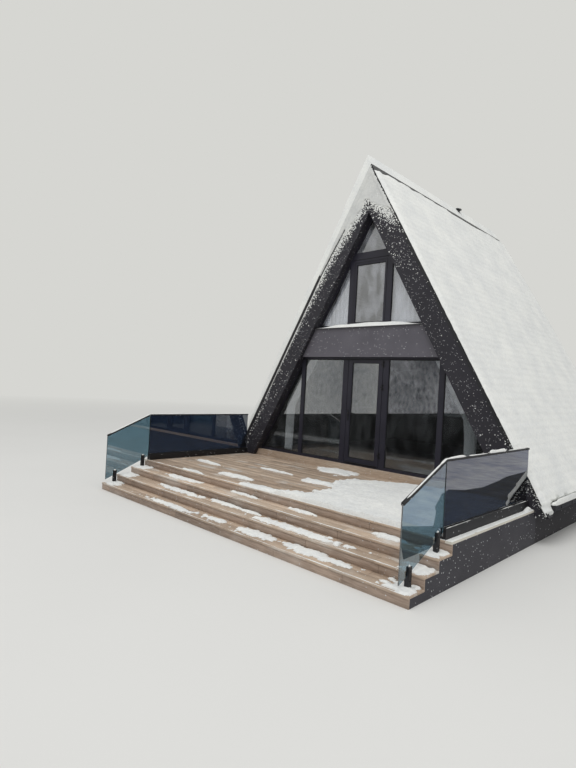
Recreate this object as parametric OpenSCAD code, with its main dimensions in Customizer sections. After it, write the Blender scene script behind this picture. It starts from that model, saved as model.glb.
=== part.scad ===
// A-frame cabin on a low plinth, with a raised terrace, front steps and glass balustrades.
// Millimetres. X runs to the right, Y away from the front and Z up.
// The origin is on the ground, under the middle of the front face of the roof frame.

/* [Roof] */
// Slope of both roof planes from the level, in degrees
roof_pitch = 60; // [57:0.5:62]
// Height of the line where the two shingled planes meet
apex_z = 7120; // [6900:10:7400]
// Length of the building along its ridge
roof_l = 6780; // [5200:10:9000]
// Thickness of a roof panel without its shingles
panel_t = 285; // [220:5:320]
// Thickness of the shingle layer
shingle_t = 15; // [8:1:25]
// Height of the drip edge of the roof
eave_z = 660; // [640:5:720]
// Length of each flange of the ridge cap, down the slope
ridge_flange = 170; // [100:5:220]
// Thickness of the sheet metal of the ridge cap and the verge trims
sheet_t = 8; // [4:1:12]
// Depth of the verge trim down the face of the roof frame
verge_drop = 62; // [40:1:100]
// Width of the verge trim over the shingles
verge_lap = 95; // [60:5:140]

/* [Roof frame] */
// Width of the frame's face across its legs, shingles not counted
frame_band = 490; // [460:5:540]
// Height of the outer tip of each frame foot above the ground
frame_tip_z = 470; // [400:5:500]
// Clearance between the roof's sloping inner faces and what is cut to them
rake_gap = 0.3; // [0.2:0.1:0.8]

/* [Plinth and floors] */
// Height of the plinth and of the terrace above the ground
terrace_z = 560; // [540:5:600]
// Thickness of the plinth walls along the sides
plinth_t = 300; // [240:10:340]
// Distance of the cabin floor's edge behind the frame's front face
floor_setback = 100; // [80:5:130]
// Height of the cabin floor above the terrace
floor_rise = 150; // [120:5:170]
// Thickness of the finished flooring in the cabin
finish_t = 30; // [20:1:40]
// Height of the underside of the upper floor
upper_floor_z = 3060; // [3055:5:3120]
// Thickness of the upper floor
upper_floor_t = 300; // [240:10:340]

/* [Front glazing] */
// Distance of the glazing's front face behind the frame's front face
glazing_setback = 180; // [150:5:210]
// Depth of the glazing's frames, which end flush with the back of the roof frame
glazing_d = 70; // [66:1:90]
// Height of the underside of the panel between the storeys
spandrel_z = 3050; // [2900:5:3055]
// Height of the panel between the storeys
spandrel_h = 640; // [560:5:700]
// Width of the glazing's raking side frames
rake_w = 30; // [24:1:60]
// Height of the lower head rail
head_h = 50; // [40:1:70]
// Height of the lower and upper bottom rails
bottom_rail_h = 60; // [45:1:80]
// How far the middles of the outer lower mullions stand outside the ends of the head rail
outer_mullion_out = 20; // [0:5:40]
// Width of the outer lower mullions
outer_mullion_w = 110; // [90:1:130]
// How far the middles of the upper mullions stand inside the ends of the transom
upper_mullion_in = 55; // [40:5:80]
// Width of the upper mullions
upper_mullion_w = 130; // [100:1:150]
// Distance of the transom's underside below the ridge line
transom_drop = 2005; // [1950:5:2100]
// Height of the upper transom
transom_h = 205; // [160:5:230]
// Width of the opening sash's own frame above the door
sash_w = 55; // [40:1:70]
// Thickness of the glass in doors and windows
glass_t = 24; // [16:1:32]
// Distance of the glass behind the glazing's front face
glass_in = 22; // [15:1:30]
// Overhang of the sheet metal sill in front of the panel between the storeys
sill_over = 40; // [20:1:60]

/* [Front door] */
// Clear width between the door's two posts
door_w = 910; // [850:5:1000]
// Width of each door post
door_post_w = 138; // [100:1:160]
// Running gap around the door leaf
door_gap = 10; // [9:0.5:12]
// Thickness of the door leaf
leaf_t = 62; // [50:1:64]
// Width of the door leaf's side stiles
stile_w = 105; // [80:1:125]
// Height of the door leaf's top rail
leaf_top_h = 60; // [50:1:90]
// Height of the door leaf's bottom rail
leaf_bottom_h = 120; // [90:1:160]
// Height of the threshold above the floor
threshold_h = 20; // [15:1:25]
// Height of the handle above the floor
handle_z = 1110; // [950:10:1150]
// Radius of the hinge knuckles
knuckle_r = 12; // [10:0.5:14]
// Radius of the hinge pins
pin_r = 6; // [4:0.5:7]
// Height of one hinge
hinge_h = 120; // [90:5:150]
// Distance of the top hinge below the leaf's top
hinge_top_in = 30; // [20:5:120]
// Distance from the top hinge down to the second one
hinge_pair_step = 480; // [300:10:700]
// Distance of the bottom hinge above the leaf's foot
hinge_low_in = 200; // [100:10:300]

/* [Terrace] */
// Distance of the terrace's sides inside the outer tips of the roof frame's feet at terrace level
terrace_inset = 177; // [150:1:240]
// Distance from the frame's front face to the terrace's front edge
terrace_l = 2850; // [2400:10:3600]
// Number of risers up to the terrace
risers_n = 4; // [3:1:5]
// Depth of each tread from edge to edge
tread_d = 320; // [290:1:360]
// Thickness of the porcelain treads and paving
tile_t = 30; // [20:1:40]
// Thickness of the riser tiles
riser_t = 20; // [12:1:25]
// Overhang of each tread over its riser
nosing = 10; // [5:1:20]
// Width of the coping strip along each side of the terrace
coping_w = 90; // [60:5:110]

/* [Balustrades] */
// Width of the base shoe that holds the level glass
shoe_w = 90; // [80:2:120]
// Height of the base shoe
shoe_h = 140; // [110:5:160]
// Thickness of the balustrade glass
rail_glass_t = 17; // [12:1:22]
// Height of the rail's top above the terrace
rail_h = 1000; // [900:10:1100]
// Width of the rail on top of the glass
rail_w = 42; // [34:1:50]
// Height of the rail on top of the glass
rail_cap_h = 30; // [22:1:40]
// Depth that the level glass stands in its shoe
shoe_grip = 100; // [60:5:105]
// Distance of the sloping glass above the line of the treads' edges
slope_gap = 85; // [50:5:100]
// Height of the clamps that hold the sloping glass
clamp_h = 255; // [235:5:280]
// Distance of the lower clamps behind the first tread's edge
clamp_low_in = 200; // [60:5:240]
// Distance of the upper clamps in front of the terrace's edge
clamp_high_in = 130; // [60:5:240]
// Width of a clamp along the rail
clamp_l = 64; // [50:1:80]
// Width of a clamp across the rail
clamp_w = 56; // [44:1:70]

/* [Gutters] */
// Width of the gutters
gutter_w = 120; // [100:5:140]
// Height of the gutters
gutter_h = 88; // [70:2:96]
// Thickness of the gutters' walls
gutter_t = 6; // [4:1:10]
// Thickness of the eave boards that carry the gutters
eave_board_t = 24; // [18:1:30]

/* [Vent] */
// Distance of the vent from the front face, along the ridge
vent_y = 4280; // [3000:20:4600]
// Distance of the vent from the ridge, on the left slope
vent_x = 175; // [160:5:220]
// Radius of the vent pipe
vent_r = 55; // [45:1:60]
// Height of the top of the vent's cowl above the ridge line
vent_rise = 345; // [260:5:380]

/* [Snow] */
// Depth of the snow on the left slope at the ridge
snow_ridge_t = 290; // [240:5:300]
// Depth of the snow on the left slope halfway down
snow_mid_t = 225; // [150:5:250]
// Depth of the snow on the left slope at the eave
snow_eave_t = 120; // [60:5:140]
// Depth of the snow on the right slope
snow_thin_t = 58; // [30:1:100]
// Distance of the right slope's snow from the ridge line, down the slope
snow_ridge_in = 60; // [40:5:120]

/* [Curtains] */
// Distance of the curtains behind the glazing's back face
curtain_gap = 70; // [50:5:100]
// Depth of the gathered curtains from front to back
curtain_d = 90; // [60:5:120]
// Width of the gathered curtains where they follow the rake
curtain_w = 200; // [160:10:280]
// Height at which the curtains leave the rake and hang down
curtain_knee_z = 1750; // [1500:10:2000]
// Width of the curtains at their foot
curtain_foot_w = 350; // [250:10:420]

/* [Rear gable] */
// Width of the rear windows
rear_win_w = 1000; // [700:10:1050]
// Distance of the lower rear windows' upper corners inside the roof frame
rear_margin = 400; // [300:10:460]
// Height of the lower rear windows' sills above the floor
rear_sill_h = 850; // [750:10:900]
// Height of the lower rear windows
rear_win_h = 1250; // [1000:10:1300]
// Height of the upper rear window
rear_upper_h = 900; // [700:10:950]
// Distance of the upper rear window's head below the ridge line
rear_head_drop = 2190; // [2150:10:2400]
// Width of the rear window frames
rear_frame_w = 65; // [50:1:80]

/* [Hidden] */
$fn = 48;

frame_black = [0.16, 0.15, 0.18];
render_grey = [0.25, 0.24, 0.27];
window_grey = [0.20, 0.19, 0.23];
tile_brown = [0.60, 0.52, 0.45];
pane_blue = [0.55, 0.62, 0.66, 0.45];
board_wood = [0.62, 0.47, 0.32];
snow_white = [0.93, 0.94, 0.95];

// A plane's offset is its depth under the shingled surface, square to the slope.
// Pieces between the sloping inner faces are cut to the second plane of each pair.
shell_off = shingle_t + panel_t;
band_off = shingle_t + frame_band;
pane_off = band_off + rake_w;
in_shell_off = shell_off + rake_gap;
in_band_off = band_off + rake_gap;
in_pane_off = pane_off + rake_gap;
function plane_x(off, z) = ((apex_z - z) * cos(roof_pitch) - off) / sin(roof_pitch);
function plane_top(off) = apex_z - off / cos(roof_pitch);

floor_z = terrace_z + floor_rise;
slab_top_z = floor_z - finish_t;
upper_top_z = upper_floor_z + upper_floor_t;
spandrel_top_z = spandrel_z + spandrel_h;
frame_back_y = glazing_setback + glazing_d;
rear_frame_y = roof_l - frame_back_y;
rear_edge_y = roof_l - floor_setback;
pane_y = glazing_setback + glass_in;
terrace_half = plane_x(0, terrace_z) - terrace_inset;
big = 20000;

// A shape drawn in X and Z, carried from y0 to y1
module across(y0, y1) {
    translate([0, y1, 0]) rotate([90, 0, 0]) linear_extrude(y1 - y0) children();
}

// A shape drawn in Y and Z, carried from x0 to x1
module along(x0, x1) {
    translate([x0, 0, 0]) rotate([90, 0, 90]) linear_extrude(x1 - x0) children();
}

// A block between two corners
module block(low, high) {
    translate(low) cube(high - low);
}

// The same piece on the right and on the left
module both_sides() {
    children();
    mirror([1, 0, 0]) children();
}

// A level band of the gable between two heights, ending at the planes of one offset
module gable_band(off, z0, z1, y0, y1) {
    across(y0, y1) polygon([
        [-plane_x(off, z0), z0],
        [plane_x(off, z0), z0],
        [plane_x(off, z1), z1],
        [-plane_x(off, z1), z1]
    ]);
}

// The top of the gable above a height, up to where the planes of one offset meet
module gable_tip(off, z0, y0, y1) {
    across(y0, y1) polygon([
        [-plane_x(off, z0), z0],
        [plane_x(off, z0), z0],
        [0, plane_top(off)]
    ]);
}

// A sloping layer of the right side between two offsets, from a height up to the middle
module slope(off0, off1, z0, y0, y1) {
    across(y0, y1) polygon([
        [plane_x(off0, z0), z0],
        [0, plane_top(off0)],
        [0, plane_top(off1)],
        [plane_x(off1, z0), z0]
    ]);
}

module plinth_ends() {
    color(render_grey) {
        block([-terrace_half, floor_setback, 0], [terrace_half, frame_back_y, terrace_z]);
        block([-terrace_half, rear_frame_y, 0], [terrace_half, rear_edge_y, terrace_z]);
    }
}

module plinth_sides() {
    color(render_grey) both_sides()
        block([terrace_half - plinth_t, frame_back_y, 0], [terrace_half, rear_frame_y, terrace_z]);
}

module floor_slab() {
    color("silver") {
        gable_band(in_band_off, terrace_z, slab_top_z, floor_setback + riser_t, rear_edge_y);
        gable_band(in_shell_off, terrace_z, slab_top_z, frame_back_y, rear_frame_y);
    }
}

module floor_finish() {
    color(board_wood) {
        gable_band(in_band_off, slab_top_z, floor_z, glazing_setback, rear_frame_y);
        gable_band(in_shell_off, slab_top_z, floor_z, frame_back_y, rear_frame_y);
    }
}

module entrance_tiles() {
    color(tile_brown) {
        gable_band(in_band_off, terrace_z, slab_top_z, floor_setback, floor_setback + riser_t);
        gable_band(in_band_off, slab_top_z, floor_z, floor_setback, glazing_setback);
    }
}

module upper_floor() {
    color(board_wood)
        gable_band(in_shell_off, upper_floor_z, upper_top_z, frame_back_y, rear_frame_y);
}

// One panel of the right side: plumb at the eave and level on the plinth
module roof_panel() {
    across(frame_back_y, rear_frame_y) polygon([
        [plane_x(shingle_t, eave_z), eave_z],
        [0, plane_top(shingle_t)],
        [0, plane_top(shell_off)],
        [plane_x(shell_off, terrace_z), terrace_z],
        [plane_x(shingle_t, eave_z), terrace_z]
    ]);
}

module roof_panel_left() {
    color(frame_black) mirror([1, 0, 0]) roof_panel();
}

module roof_panel_right() {
    color(frame_black) roof_panel();
}

// One leg of the right side: it stands on the plinth and its tip hangs down beside it
module frame_leg(y0, y1) {
    across(y0, y1) polygon([
        [plane_x(shingle_t + rake_gap, frame_tip_z), frame_tip_z],
        [0, plane_top(shingle_t + rake_gap)],
        [0, plane_top(band_off)],
        [plane_x(band_off, terrace_z), terrace_z],
        [terrace_half, terrace_z],
        [terrace_half, frame_tip_z]
    ]);
}

module front_frame_left() {
    color(frame_black) mirror([1, 0, 0]) frame_leg(0, frame_back_y);
}

module front_frame_right() {
    color(frame_black) frame_leg(0, frame_back_y);
}

module rear_frame_left() {
    color(frame_black) mirror([1, 0, 0]) frame_leg(rear_frame_y, roof_l);
}

module rear_frame_right() {
    color(frame_black) frame_leg(rear_frame_y, roof_l);
}

module shingles_left() {
    color([0.22, 0.21, 0.23]) mirror([1, 0, 0]) slope(0, shingle_t, eave_z, 0, roof_l);
}

module shingles_right() {
    color([0.22, 0.21, 0.23]) slope(0, shingle_t, eave_z, 0, roof_l);
}

module ridge_cap() {
    flange_z = apex_z - ridge_flange * sin(roof_pitch);
    color(frame_black) across(verge_lap, roof_l - verge_lap) polygon([
        [plane_x(-rake_gap, flange_z), flange_z],
        [plane_x(-sheet_t, flange_z), flange_z],
        [0, plane_top(-sheet_t)],
        [-plane_x(-sheet_t, flange_z), flange_z],
        [-plane_x(-rake_gap, flange_z), flange_z],
        [0, plane_top(-rake_gap)]
    ]);
}

// The angle trim of the right side's front edge: a face strip and a strip over the shingles
module verge_angle() {
    slope(-sheet_t, verge_drop, frame_tip_z, -sheet_t, 0);
    slope(-sheet_t, 0, eave_z, 0, verge_lap);
}

// The front and the rear trim of the right side
module verge_pair() {
    verge_angle();
    translate([0, roof_l, 0]) mirror([0, 1, 0]) verge_angle();
}

module verge_trim_left() {
    color(frame_black) mirror([1, 0, 0]) verge_pair();
}

module verge_trim_right() {
    color(frame_black) verge_pair();
}

module eave_boards() {
    board_x = plane_x(shingle_t, eave_z);
    color(frame_black) both_sides()
        block([board_x, frame_back_y, terrace_z], [board_x + eave_board_t, rear_frame_y, eave_z]);
}

module gutters() {
    gutter_x = plane_x(shingle_t, eave_z) + eave_board_t;
    color(frame_black) both_sides() difference() {
        block([gutter_x, frame_back_y, terrace_z], [gutter_x + gutter_w, rear_frame_y, terrace_z + gutter_h]);
        block(
            [gutter_x + gutter_t, frame_back_y + gutter_t, terrace_z + gutter_t],
            [gutter_x + gutter_w - gutter_t, rear_frame_y - gutter_t, eave_z + gutter_h]
        );
    }
}

module spandrel() {
    color(render_grey)
        gable_band(in_band_off, spandrel_z, spandrel_top_z, floor_setback, frame_back_y);
}

module sill_flashing() {
    color(frame_black) gable_band(
        in_band_off, spandrel_top_z, spandrel_top_z + sheet_t,
        floor_setback - sill_over, glazing_setback
    );
}

// A post of the glazing from z0 up to z1, cut where it meets the raking frames
module post(x, w, z0, z1) {
    intersection() {
        block([x - w / 2, glazing_setback, z0], [x + w / 2, frame_back_y, z1]);
        gable_tip(in_pane_off, z0, glazing_setback, frame_back_y);
    }
}

door_post_x = (door_w + door_post_w) / 2;
head_z = spandrel_z - head_h;
transom_z = apex_z - transom_drop;
outer_mullion_x = plane_x(pane_off, head_z) + outer_mullion_out;
upper_mullion_x = plane_x(pane_off, transom_z) - upper_mullion_in;

module lower_mullions() {
    color(window_grey) both_sides() {
        post(door_post_x, door_post_w, floor_z, head_z);
        post(outer_mullion_x, outer_mullion_w, floor_z, head_z);
    }
}

// The part of a level rail that lies between two distances from the middle
module rail_span(x0, x1, z0, z1) {
    intersection() {
        block([x0, glazing_setback, z0], [x1, frame_back_y, z1]);
        gable_band(in_pane_off, z0, z1, glazing_setback, frame_back_y);
    }
}

inner_bay = [door_w / 2 + door_post_w, outer_mullion_x - outer_mullion_w / 2];
outer_bay = [outer_mullion_x + outer_mullion_w / 2, big];

module lower_rails() {
    color(window_grey) {
        gable_band(in_pane_off, head_z, spandrel_z, glazing_setback, frame_back_y);
        both_sides() for (bay = [inner_bay, outer_bay])
            rail_span(bay[0], bay[1], floor_z, floor_z + bottom_rail_h);
        block(
            [-door_w / 2, glazing_setback, floor_z],
            [door_w / 2, frame_back_y, floor_z + threshold_h]
        );
    }
}

// The raking frames between two heights, on both sides
module rakes(z0, z1) {
    difference() {
        gable_band(in_band_off, z0, z1, glazing_setback, frame_back_y);
        gable_band(pane_off, z0 - 1, z1 + 1, glazing_setback - 1, frame_back_y + 1);
    }
}

module lower_rakes() {
    color(window_grey) rakes(floor_z, spandrel_z);
}

module upper_rakes() {
    color(window_grey) difference() {
        gable_tip(in_band_off, spandrel_top_z, glazing_setback, frame_back_y);
        gable_tip(pane_off, spandrel_top_z - 1, glazing_setback - 1, frame_back_y + 1);
    }
}

module upper_mullions() {
    color(window_grey) both_sides()
        post(upper_mullion_x, upper_mullion_w, spandrel_top_z + bottom_rail_h, transom_z);
}

module upper_rails() {
    color(window_grey) {
        gable_band(
            in_pane_off, spandrel_top_z, spandrel_top_z + bottom_rail_h,
            glazing_setback, frame_back_y
        );
        gable_band(in_pane_off, transom_z, transom_z + transom_h, glazing_setback, frame_back_y);
    }
}

upper_pane_z = spandrel_top_z + bottom_rail_h;
upper_bay = upper_mullion_x - upper_mullion_w / 2;

module upper_sash() {
    color(window_grey) difference() {
        block([-upper_bay, glazing_setback, upper_pane_z], [upper_bay, frame_back_y, transom_z]);
        block(
            [sash_w - upper_bay, 0, upper_pane_z + sash_w],
            [upper_bay - sash_w, big, transom_z - sash_w]
        );
    }
}

// A pane between two distances from the middle and two heights, cut along the raking frames
module pane(x0, x1, z0, z1) {
    intersection() {
        block([x0, pane_y, z0], [x1, pane_y + glass_t, z1]);
        gable_tip(in_pane_off, z0, pane_y, pane_y + glass_t);
    }
}

module lower_glass() {
    color(pane_blue) both_sides() for (bay = [inner_bay, outer_bay])
        pane(bay[0], bay[1], floor_z + bottom_rail_h, head_z);
}

module upper_glass() {
    color(pane_blue) {
        both_sides() pane(upper_mullion_x + upper_mullion_w / 2, big, upper_pane_z, transom_z);
        pane(sash_w - upper_bay, upper_bay - sash_w, upper_pane_z + sash_w, transom_z - sash_w);
        pane(-big, big, transom_z + transom_h, apex_z);
    }
}

leaf_x = door_w / 2 - door_gap;
leaf_z0 = floor_z + threshold_h + door_gap;
leaf_z1 = head_z - door_gap;
stop_lap = 20;
stop_t = 15;
stop_y = frame_back_y;
stop_x = leaf_x - stop_lap + door_gap;

module door_stops() {
    color(window_grey) {
        both_sides() block(
            [stop_x - door_gap, stop_y, floor_z + threshold_h],
            [door_w / 2 + door_post_w / 2, stop_y + stop_t, spandrel_z]
        );
        block(
            [1 + door_gap - stop_x, stop_y, leaf_z1 - stop_lap],
            [stop_x - door_gap - 1, stop_y + stop_t, spandrel_z]
        );
    }
}

module door_leaf() {
    color(window_grey) difference() {
        block([-leaf_x, glazing_setback, leaf_z0], [leaf_x, glazing_setback + leaf_t, leaf_z1]);
        block(
            [stile_w - leaf_x, 0, leaf_z0 + leaf_bottom_h],
            [leaf_x - stile_w, big, leaf_z1 - leaf_top_h]
        );
    }
}

module door_glass() {
    color(pane_blue) block(
        [stile_w - leaf_x, pane_y, leaf_z0 + leaf_bottom_h],
        [leaf_x - stile_w, pane_y + glass_t, leaf_z1 - leaf_top_h]
    );
}

plate_t = 6;
plate_w = 34;
plate_h = 240;
neck_r = 9;
neck_l = 38;
lever_l = 125;
lever_r = 9;

// The outside half of the lever handle, on a tall plate
module lever() {
    handle_x = stile_w / 2 - leaf_x;
    handle_top = floor_z + handle_z;
    translate([handle_x, glazing_setback, handle_top]) {
        block([-plate_w / 2, -plate_t, -plate_h * 2 / 3], [plate_w / 2, 0, plate_h / 3]);
        rotate([90, 0, 0]) cylinder(r = neck_r, h = neck_l);
        translate([-neck_r, -neck_l, 0]) rotate([0, 90, 0]) cylinder(r = lever_r, h = lever_l);
    }
}

module door_handle() {
    color("dimgray") {
        lever();
        translate([0, 2 * glazing_setback + leaf_t, 0]) mirror([0, 1, 0]) lever();
    }
}

hinge_x = door_w / 2 - door_gap / 2;
hinge_y = glazing_setback - knuckle_r;
hinge_play = 0.5;
pin_play = 0.08;
hinge_leaf_w = 42;
hinge_leaf_t = 4;
hinge_top_z = leaf_z1 - hinge_top_in - hinge_h;
hinge_zs = [leaf_z0 + hinge_low_in, hinge_top_z - hinge_pair_step, hinge_top_z];

// One knuckle with the strap that joins it to the post (side 1) or to the leaf (side -1)
module knuckle(z0, z1, side) {
    translate([hinge_x, hinge_y, z0]) cylinder(r = knuckle_r, h = z1 - z0);
    block(
        [min(hinge_x, hinge_x + side * hinge_leaf_w), glazing_setback - hinge_leaf_t, z0],
        [max(hinge_x, hinge_x + side * hinge_leaf_w), glazing_setback, z1]
    );
}

third_h = hinge_h / 3;

module frame_hinges() {
    color("dimgray") for (z = hinge_zs) {
        knuckle(z, z + third_h, 1);
        knuckle(z + 2 * third_h, z + hinge_h, 1);
        translate([hinge_x, hinge_y, z]) cylinder(r = pin_r, h = hinge_h);
    }
}

module door_hinges() {
    color("dimgray") for (z = hinge_zs) difference() {
        knuckle(z + third_h + hinge_play, z + 2 * third_h - hinge_play, -1);
        translate([hinge_x, hinge_y, z]) cylinder(r = pin_r + pin_play, h = hinge_h);
    }
}

riser_h = terrace_z / risers_n;
back_in = nosing + riser_t;
base_front_y = back_in - terrace_l;
function tread_front(k) = -terrace_l - (risers_n - k) * tread_d;

module terrace_base() {
    color(render_grey)
        block([-terrace_half, base_front_y, 0], [terrace_half, floor_setback, terrace_z - tile_t]);
}

module step_base() {
    color(render_grey) for (k = [1 : risers_n - 1])
        block(
            [-terrace_half, tread_front(k) + back_in, 0],
            [terrace_half, base_front_y, k * riser_h - tile_t]
        );
}

module treads() {
    color(tile_brown) for (k = [1 : risers_n - 1])
        block(
            [-terrace_half, tread_front(k), k * riser_h - tile_t],
            [terrace_half, tread_front(k + 1) + back_in, k * riser_h]
        );
}

module risers() {
    color(tile_brown) for (k = [1 : risers_n])
        block(
            [-terrace_half, tread_front(k) + nosing, (k - 1) * riser_h],
            [terrace_half, tread_front(k) + back_in, k * riser_h - tile_t]
        );
}

coping_x = terrace_half - coping_w;

module terrace_paving() {
    color(tile_brown)
        block([-coping_x, -terrace_l, terrace_z - tile_t], [coping_x, floor_setback, terrace_z]);
}

module copings() {
    color("gainsboro") both_sides()
        block([coping_x, -terrace_l, terrace_z - tile_t], [terrace_half, floor_setback, terrace_z]);
}

rail_x = coping_x - shoe_w / 2;
rail_end_gap = 10;
rail_y0 = rail_end_gap - terrace_l;
rail_y1 = -rail_end_gap - sheet_t;
rail_top_z = terrace_z + rail_h;
glass_top_z = rail_top_z - rail_cap_h / 2;
glass_low_z = terrace_z + shoe_h - shoe_grip;
rail_slope = riser_h / tread_d;
slope_y0 = tread_front(1);
slope_y1 = -terrace_l;
function nose_z(y) = riser_h + (y - slope_y0) * rail_slope;
function slope_top_z(y) = glass_top_z + (y - slope_y1) * rail_slope;

// The level pane of one side
module level_pane() {
    block(
        [rail_x - rail_glass_t / 2, rail_y0, glass_low_z],
        [rail_x + rail_glass_t / 2, rail_y1, glass_top_z]
    );
}

// The pane of one side that follows the steps
module sloping_pane() {
    along(rail_x - rail_glass_t / 2, rail_x + rail_glass_t / 2) polygon([
        [slope_y0, nose_z(slope_y0) + slope_gap],
        [slope_y1, nose_z(slope_y1) + slope_gap],
        [slope_y1, slope_top_z(slope_y1)],
        [slope_y0, slope_top_z(slope_y0)]
    ]);
}

module rail_shoes() {
    color(frame_black) both_sides() difference() {
        block([rail_x - shoe_w / 2, rail_y0, terrace_z], [rail_x + shoe_w / 2, rail_y1, terrace_z + shoe_h]);
        level_pane();
    }
}

module rail_glass() {
    color(pane_blue) both_sides() {
        level_pane();
        sloping_pane();
    }
}

module rail_tops() {
    color(frame_black) both_sides() difference() {
        union() {
            block(
                [rail_x - rail_w / 2, rail_y0, rail_top_z - rail_cap_h],
                [rail_x + rail_w / 2, rail_y1, rail_top_z]
            );
            along(rail_x - rail_w / 2, rail_x + rail_w / 2) polygon([
                [slope_y0, slope_top_z(slope_y0) - rail_cap_h / 2],
                [slope_y1, slope_top_z(slope_y1) - rail_cap_h / 2],
                [rail_y0, rail_top_z - rail_cap_h],
                [rail_y0, rail_top_z],
                [slope_y1, slope_top_z(slope_y1) + rail_cap_h / 2],
                [slope_y0, slope_top_z(slope_y0) + rail_cap_h / 2]
            ]);
        }
        level_pane();
        sloping_pane();
    }
}

flange_over = 16;

// A clamp that stands on tread k at y and grips the sloping pane
module clamp(y, k) {
    difference() {
        union() {
            block(
                [rail_x - clamp_w / 2, y - clamp_l / 2, k * riser_h],
                [rail_x + clamp_w / 2, y + clamp_l / 2, k * riser_h + clamp_h]
            );
            translate([rail_x, y, k * riser_h]) cylinder(r = clamp_l / 2 + flange_over, h = sheet_t);
        }
        sloping_pane();
    }
}

module rail_clamps() {
    color(frame_black) both_sides() {
        clamp(slope_y0 + clamp_low_in, 1);
        clamp(slope_y1 - clamp_high_in, risers_n - 1);
    }
}

cowl_over = 55;
cowl_r = vent_r + cowl_over;
cowl_h = 70;
cowl_rim = 18;
collar_t = 7;
collar_gap = 0.3;
flash_over = 75;
flash_t = 4;
flash_in = 15;
cowl_base_z = apex_z + vent_rise - cowl_h;

module vent_pipe() {
    flash_r = vent_r + flash_over;
    pipe_z = floor(apex_z - (vent_x + 2 * vent_r) * tan(roof_pitch));
    color("dimgray") translate([0, vent_y, 0]) mirror([1, 0, 0]) {
        difference() {
            translate([vent_x, 0, pipe_z]) cylinder(r = vent_r, h = cowl_base_z - pipe_z);
            slope(-rake_gap, apex_z, eave_z, -cowl_r, cowl_r);
        }
        intersection() {
            slope(-flash_t, -rake_gap, eave_z, -flash_r, flash_r);
            block([vent_x - vent_r - flash_in, -flash_r, 0], [vent_x + flash_r, flash_r, apex_z]);
        }
    }
}

module vent_cowl() {
    color("dimgray") translate([-vent_x, vent_y, cowl_base_z]) rotate_extrude() polygon([
        [vent_r + collar_gap, -cowl_h],
        [vent_r + collar_t, -cowl_h],
        [vent_r + collar_t, 0],
        [cowl_r, 0],
        [cowl_r, cowl_rim],
        [0, cowl_h],
        [0, 0],
        [vent_r + collar_gap, 0]
    ]);
}

snow_base = sheet_t + rake_gap;
snow_mid_z = 4500;
snow_play = 10;

// The point of the right side that lies s down the slope and n out of it
function slope_point(s, n) = [
    s * cos(roof_pitch) + n * sin(roof_pitch),
    apex_z - s * sin(roof_pitch) + n * cos(roof_pitch)
];
function slope_at(z) = (apex_z - z) / sin(roof_pitch);
snow_end = slope_at(eave_z);

// The left slope's snow: its crest stands over the ridge, with one face in the plane of the other slope
module snow_left() {
    crest = [
        (snow_ridge_t - snow_base) / (2 * sin(roof_pitch)),
        apex_z + (snow_ridge_t + snow_base) / (2 * cos(roof_pitch))
    ];
    color(snow_white) mirror([1, 0, 0]) difference() {
        across(-sheet_t, roof_l + sheet_t) polygon([
            [0, plane_top(-snow_base)],
            crest,
            slope_point(slope_at(snow_mid_z), snow_mid_t),
            slope_point(snow_end, snow_eave_t),
            slope_point(snow_end, snow_base)
        ]);
        translate([vent_x, vent_y, apex_z - roof_l]) cylinder(r = vent_r + collar_t + snow_play, h = 2 * roof_l);
        translate([vent_x, vent_y, cowl_base_z - snow_play]) cylinder(r = cowl_r + snow_play, h = roof_l);
    }
}

// The right slope's thin snow, from just below the ridge down to the eave
module snow_right() {
    color(snow_white) across(-sheet_t, roof_l + sheet_t) polygon([
        slope_point(snow_ridge_in, snow_base),
        slope_point(snow_ridge_in, snow_thin_t),
        slope_point(snow_end, snow_thin_t),
        slope_point(snow_end, snow_base)
    ]);
}

curtain_y = frame_back_y + curtain_gap;
curtain_floor_gap = 60;
curtain_frame_lap = 35;
curtain_flare_h = 250;
curtain_foot_z = floor_z + curtain_floor_gap;
curtain_off = pane_off - curtain_frame_lap;

// One gathered curtain of the right side: it follows the rake down to its knee and then hangs down
module curtain() {
    outer_x = plane_x(curtain_off, curtain_knee_z);
    inner_x = outer_x - curtain_foot_w;
    color([0.92, 0.92, 0.90]) across(curtain_y, curtain_y + curtain_d) polygon([
        [plane_x(curtain_off, upper_floor_z), upper_floor_z],
        [outer_x, curtain_knee_z],
        [outer_x, curtain_foot_z],
        [inner_x, curtain_foot_z],
        [inner_x, curtain_knee_z - curtain_flare_h],
        [plane_x(curtain_off + curtain_w, curtain_knee_z), curtain_knee_z],
        [plane_x(curtain_off + curtain_w, upper_floor_z), upper_floor_z]
    ]);
}

module curtain_left() {
    mirror([1, 0, 0]) curtain();
}

module curtain_right() {
    curtain();
}

rear_low_z = floor_z + rear_sill_h;
rear_high_z = apex_z - rear_head_drop - rear_upper_h;
rear_win_x = plane_x(band_off, rear_low_z + rear_win_h) - rear_win_w / 2 - rear_margin;

// The opening of a rear window, made smaller by an inset on each side
module rear_opening(x, z0, h, inset, y0, y1) {
    block(
        [x - rear_win_w / 2 + inset, y0, z0 + inset],
        [x + rear_win_w / 2 - inset, y1, z0 + h - inset]
    );
}

// All rear window openings with one inset
module rear_openings(inset, y0, y1) {
    both_sides() rear_opening(rear_win_x, rear_low_z, rear_win_h, inset, y0, y1);
    rear_opening(0, rear_high_z, rear_upper_h, inset, y0, y1);
}

module rear_wall() {
    color(render_grey) difference() {
        gable_tip(in_band_off, slab_top_z, rear_frame_y, rear_edge_y);
        rear_openings(0, rear_frame_y - 1, rear_edge_y + 1);
    }
}

rear_window_y = rear_edge_y - glazing_d - glass_in;

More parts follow.
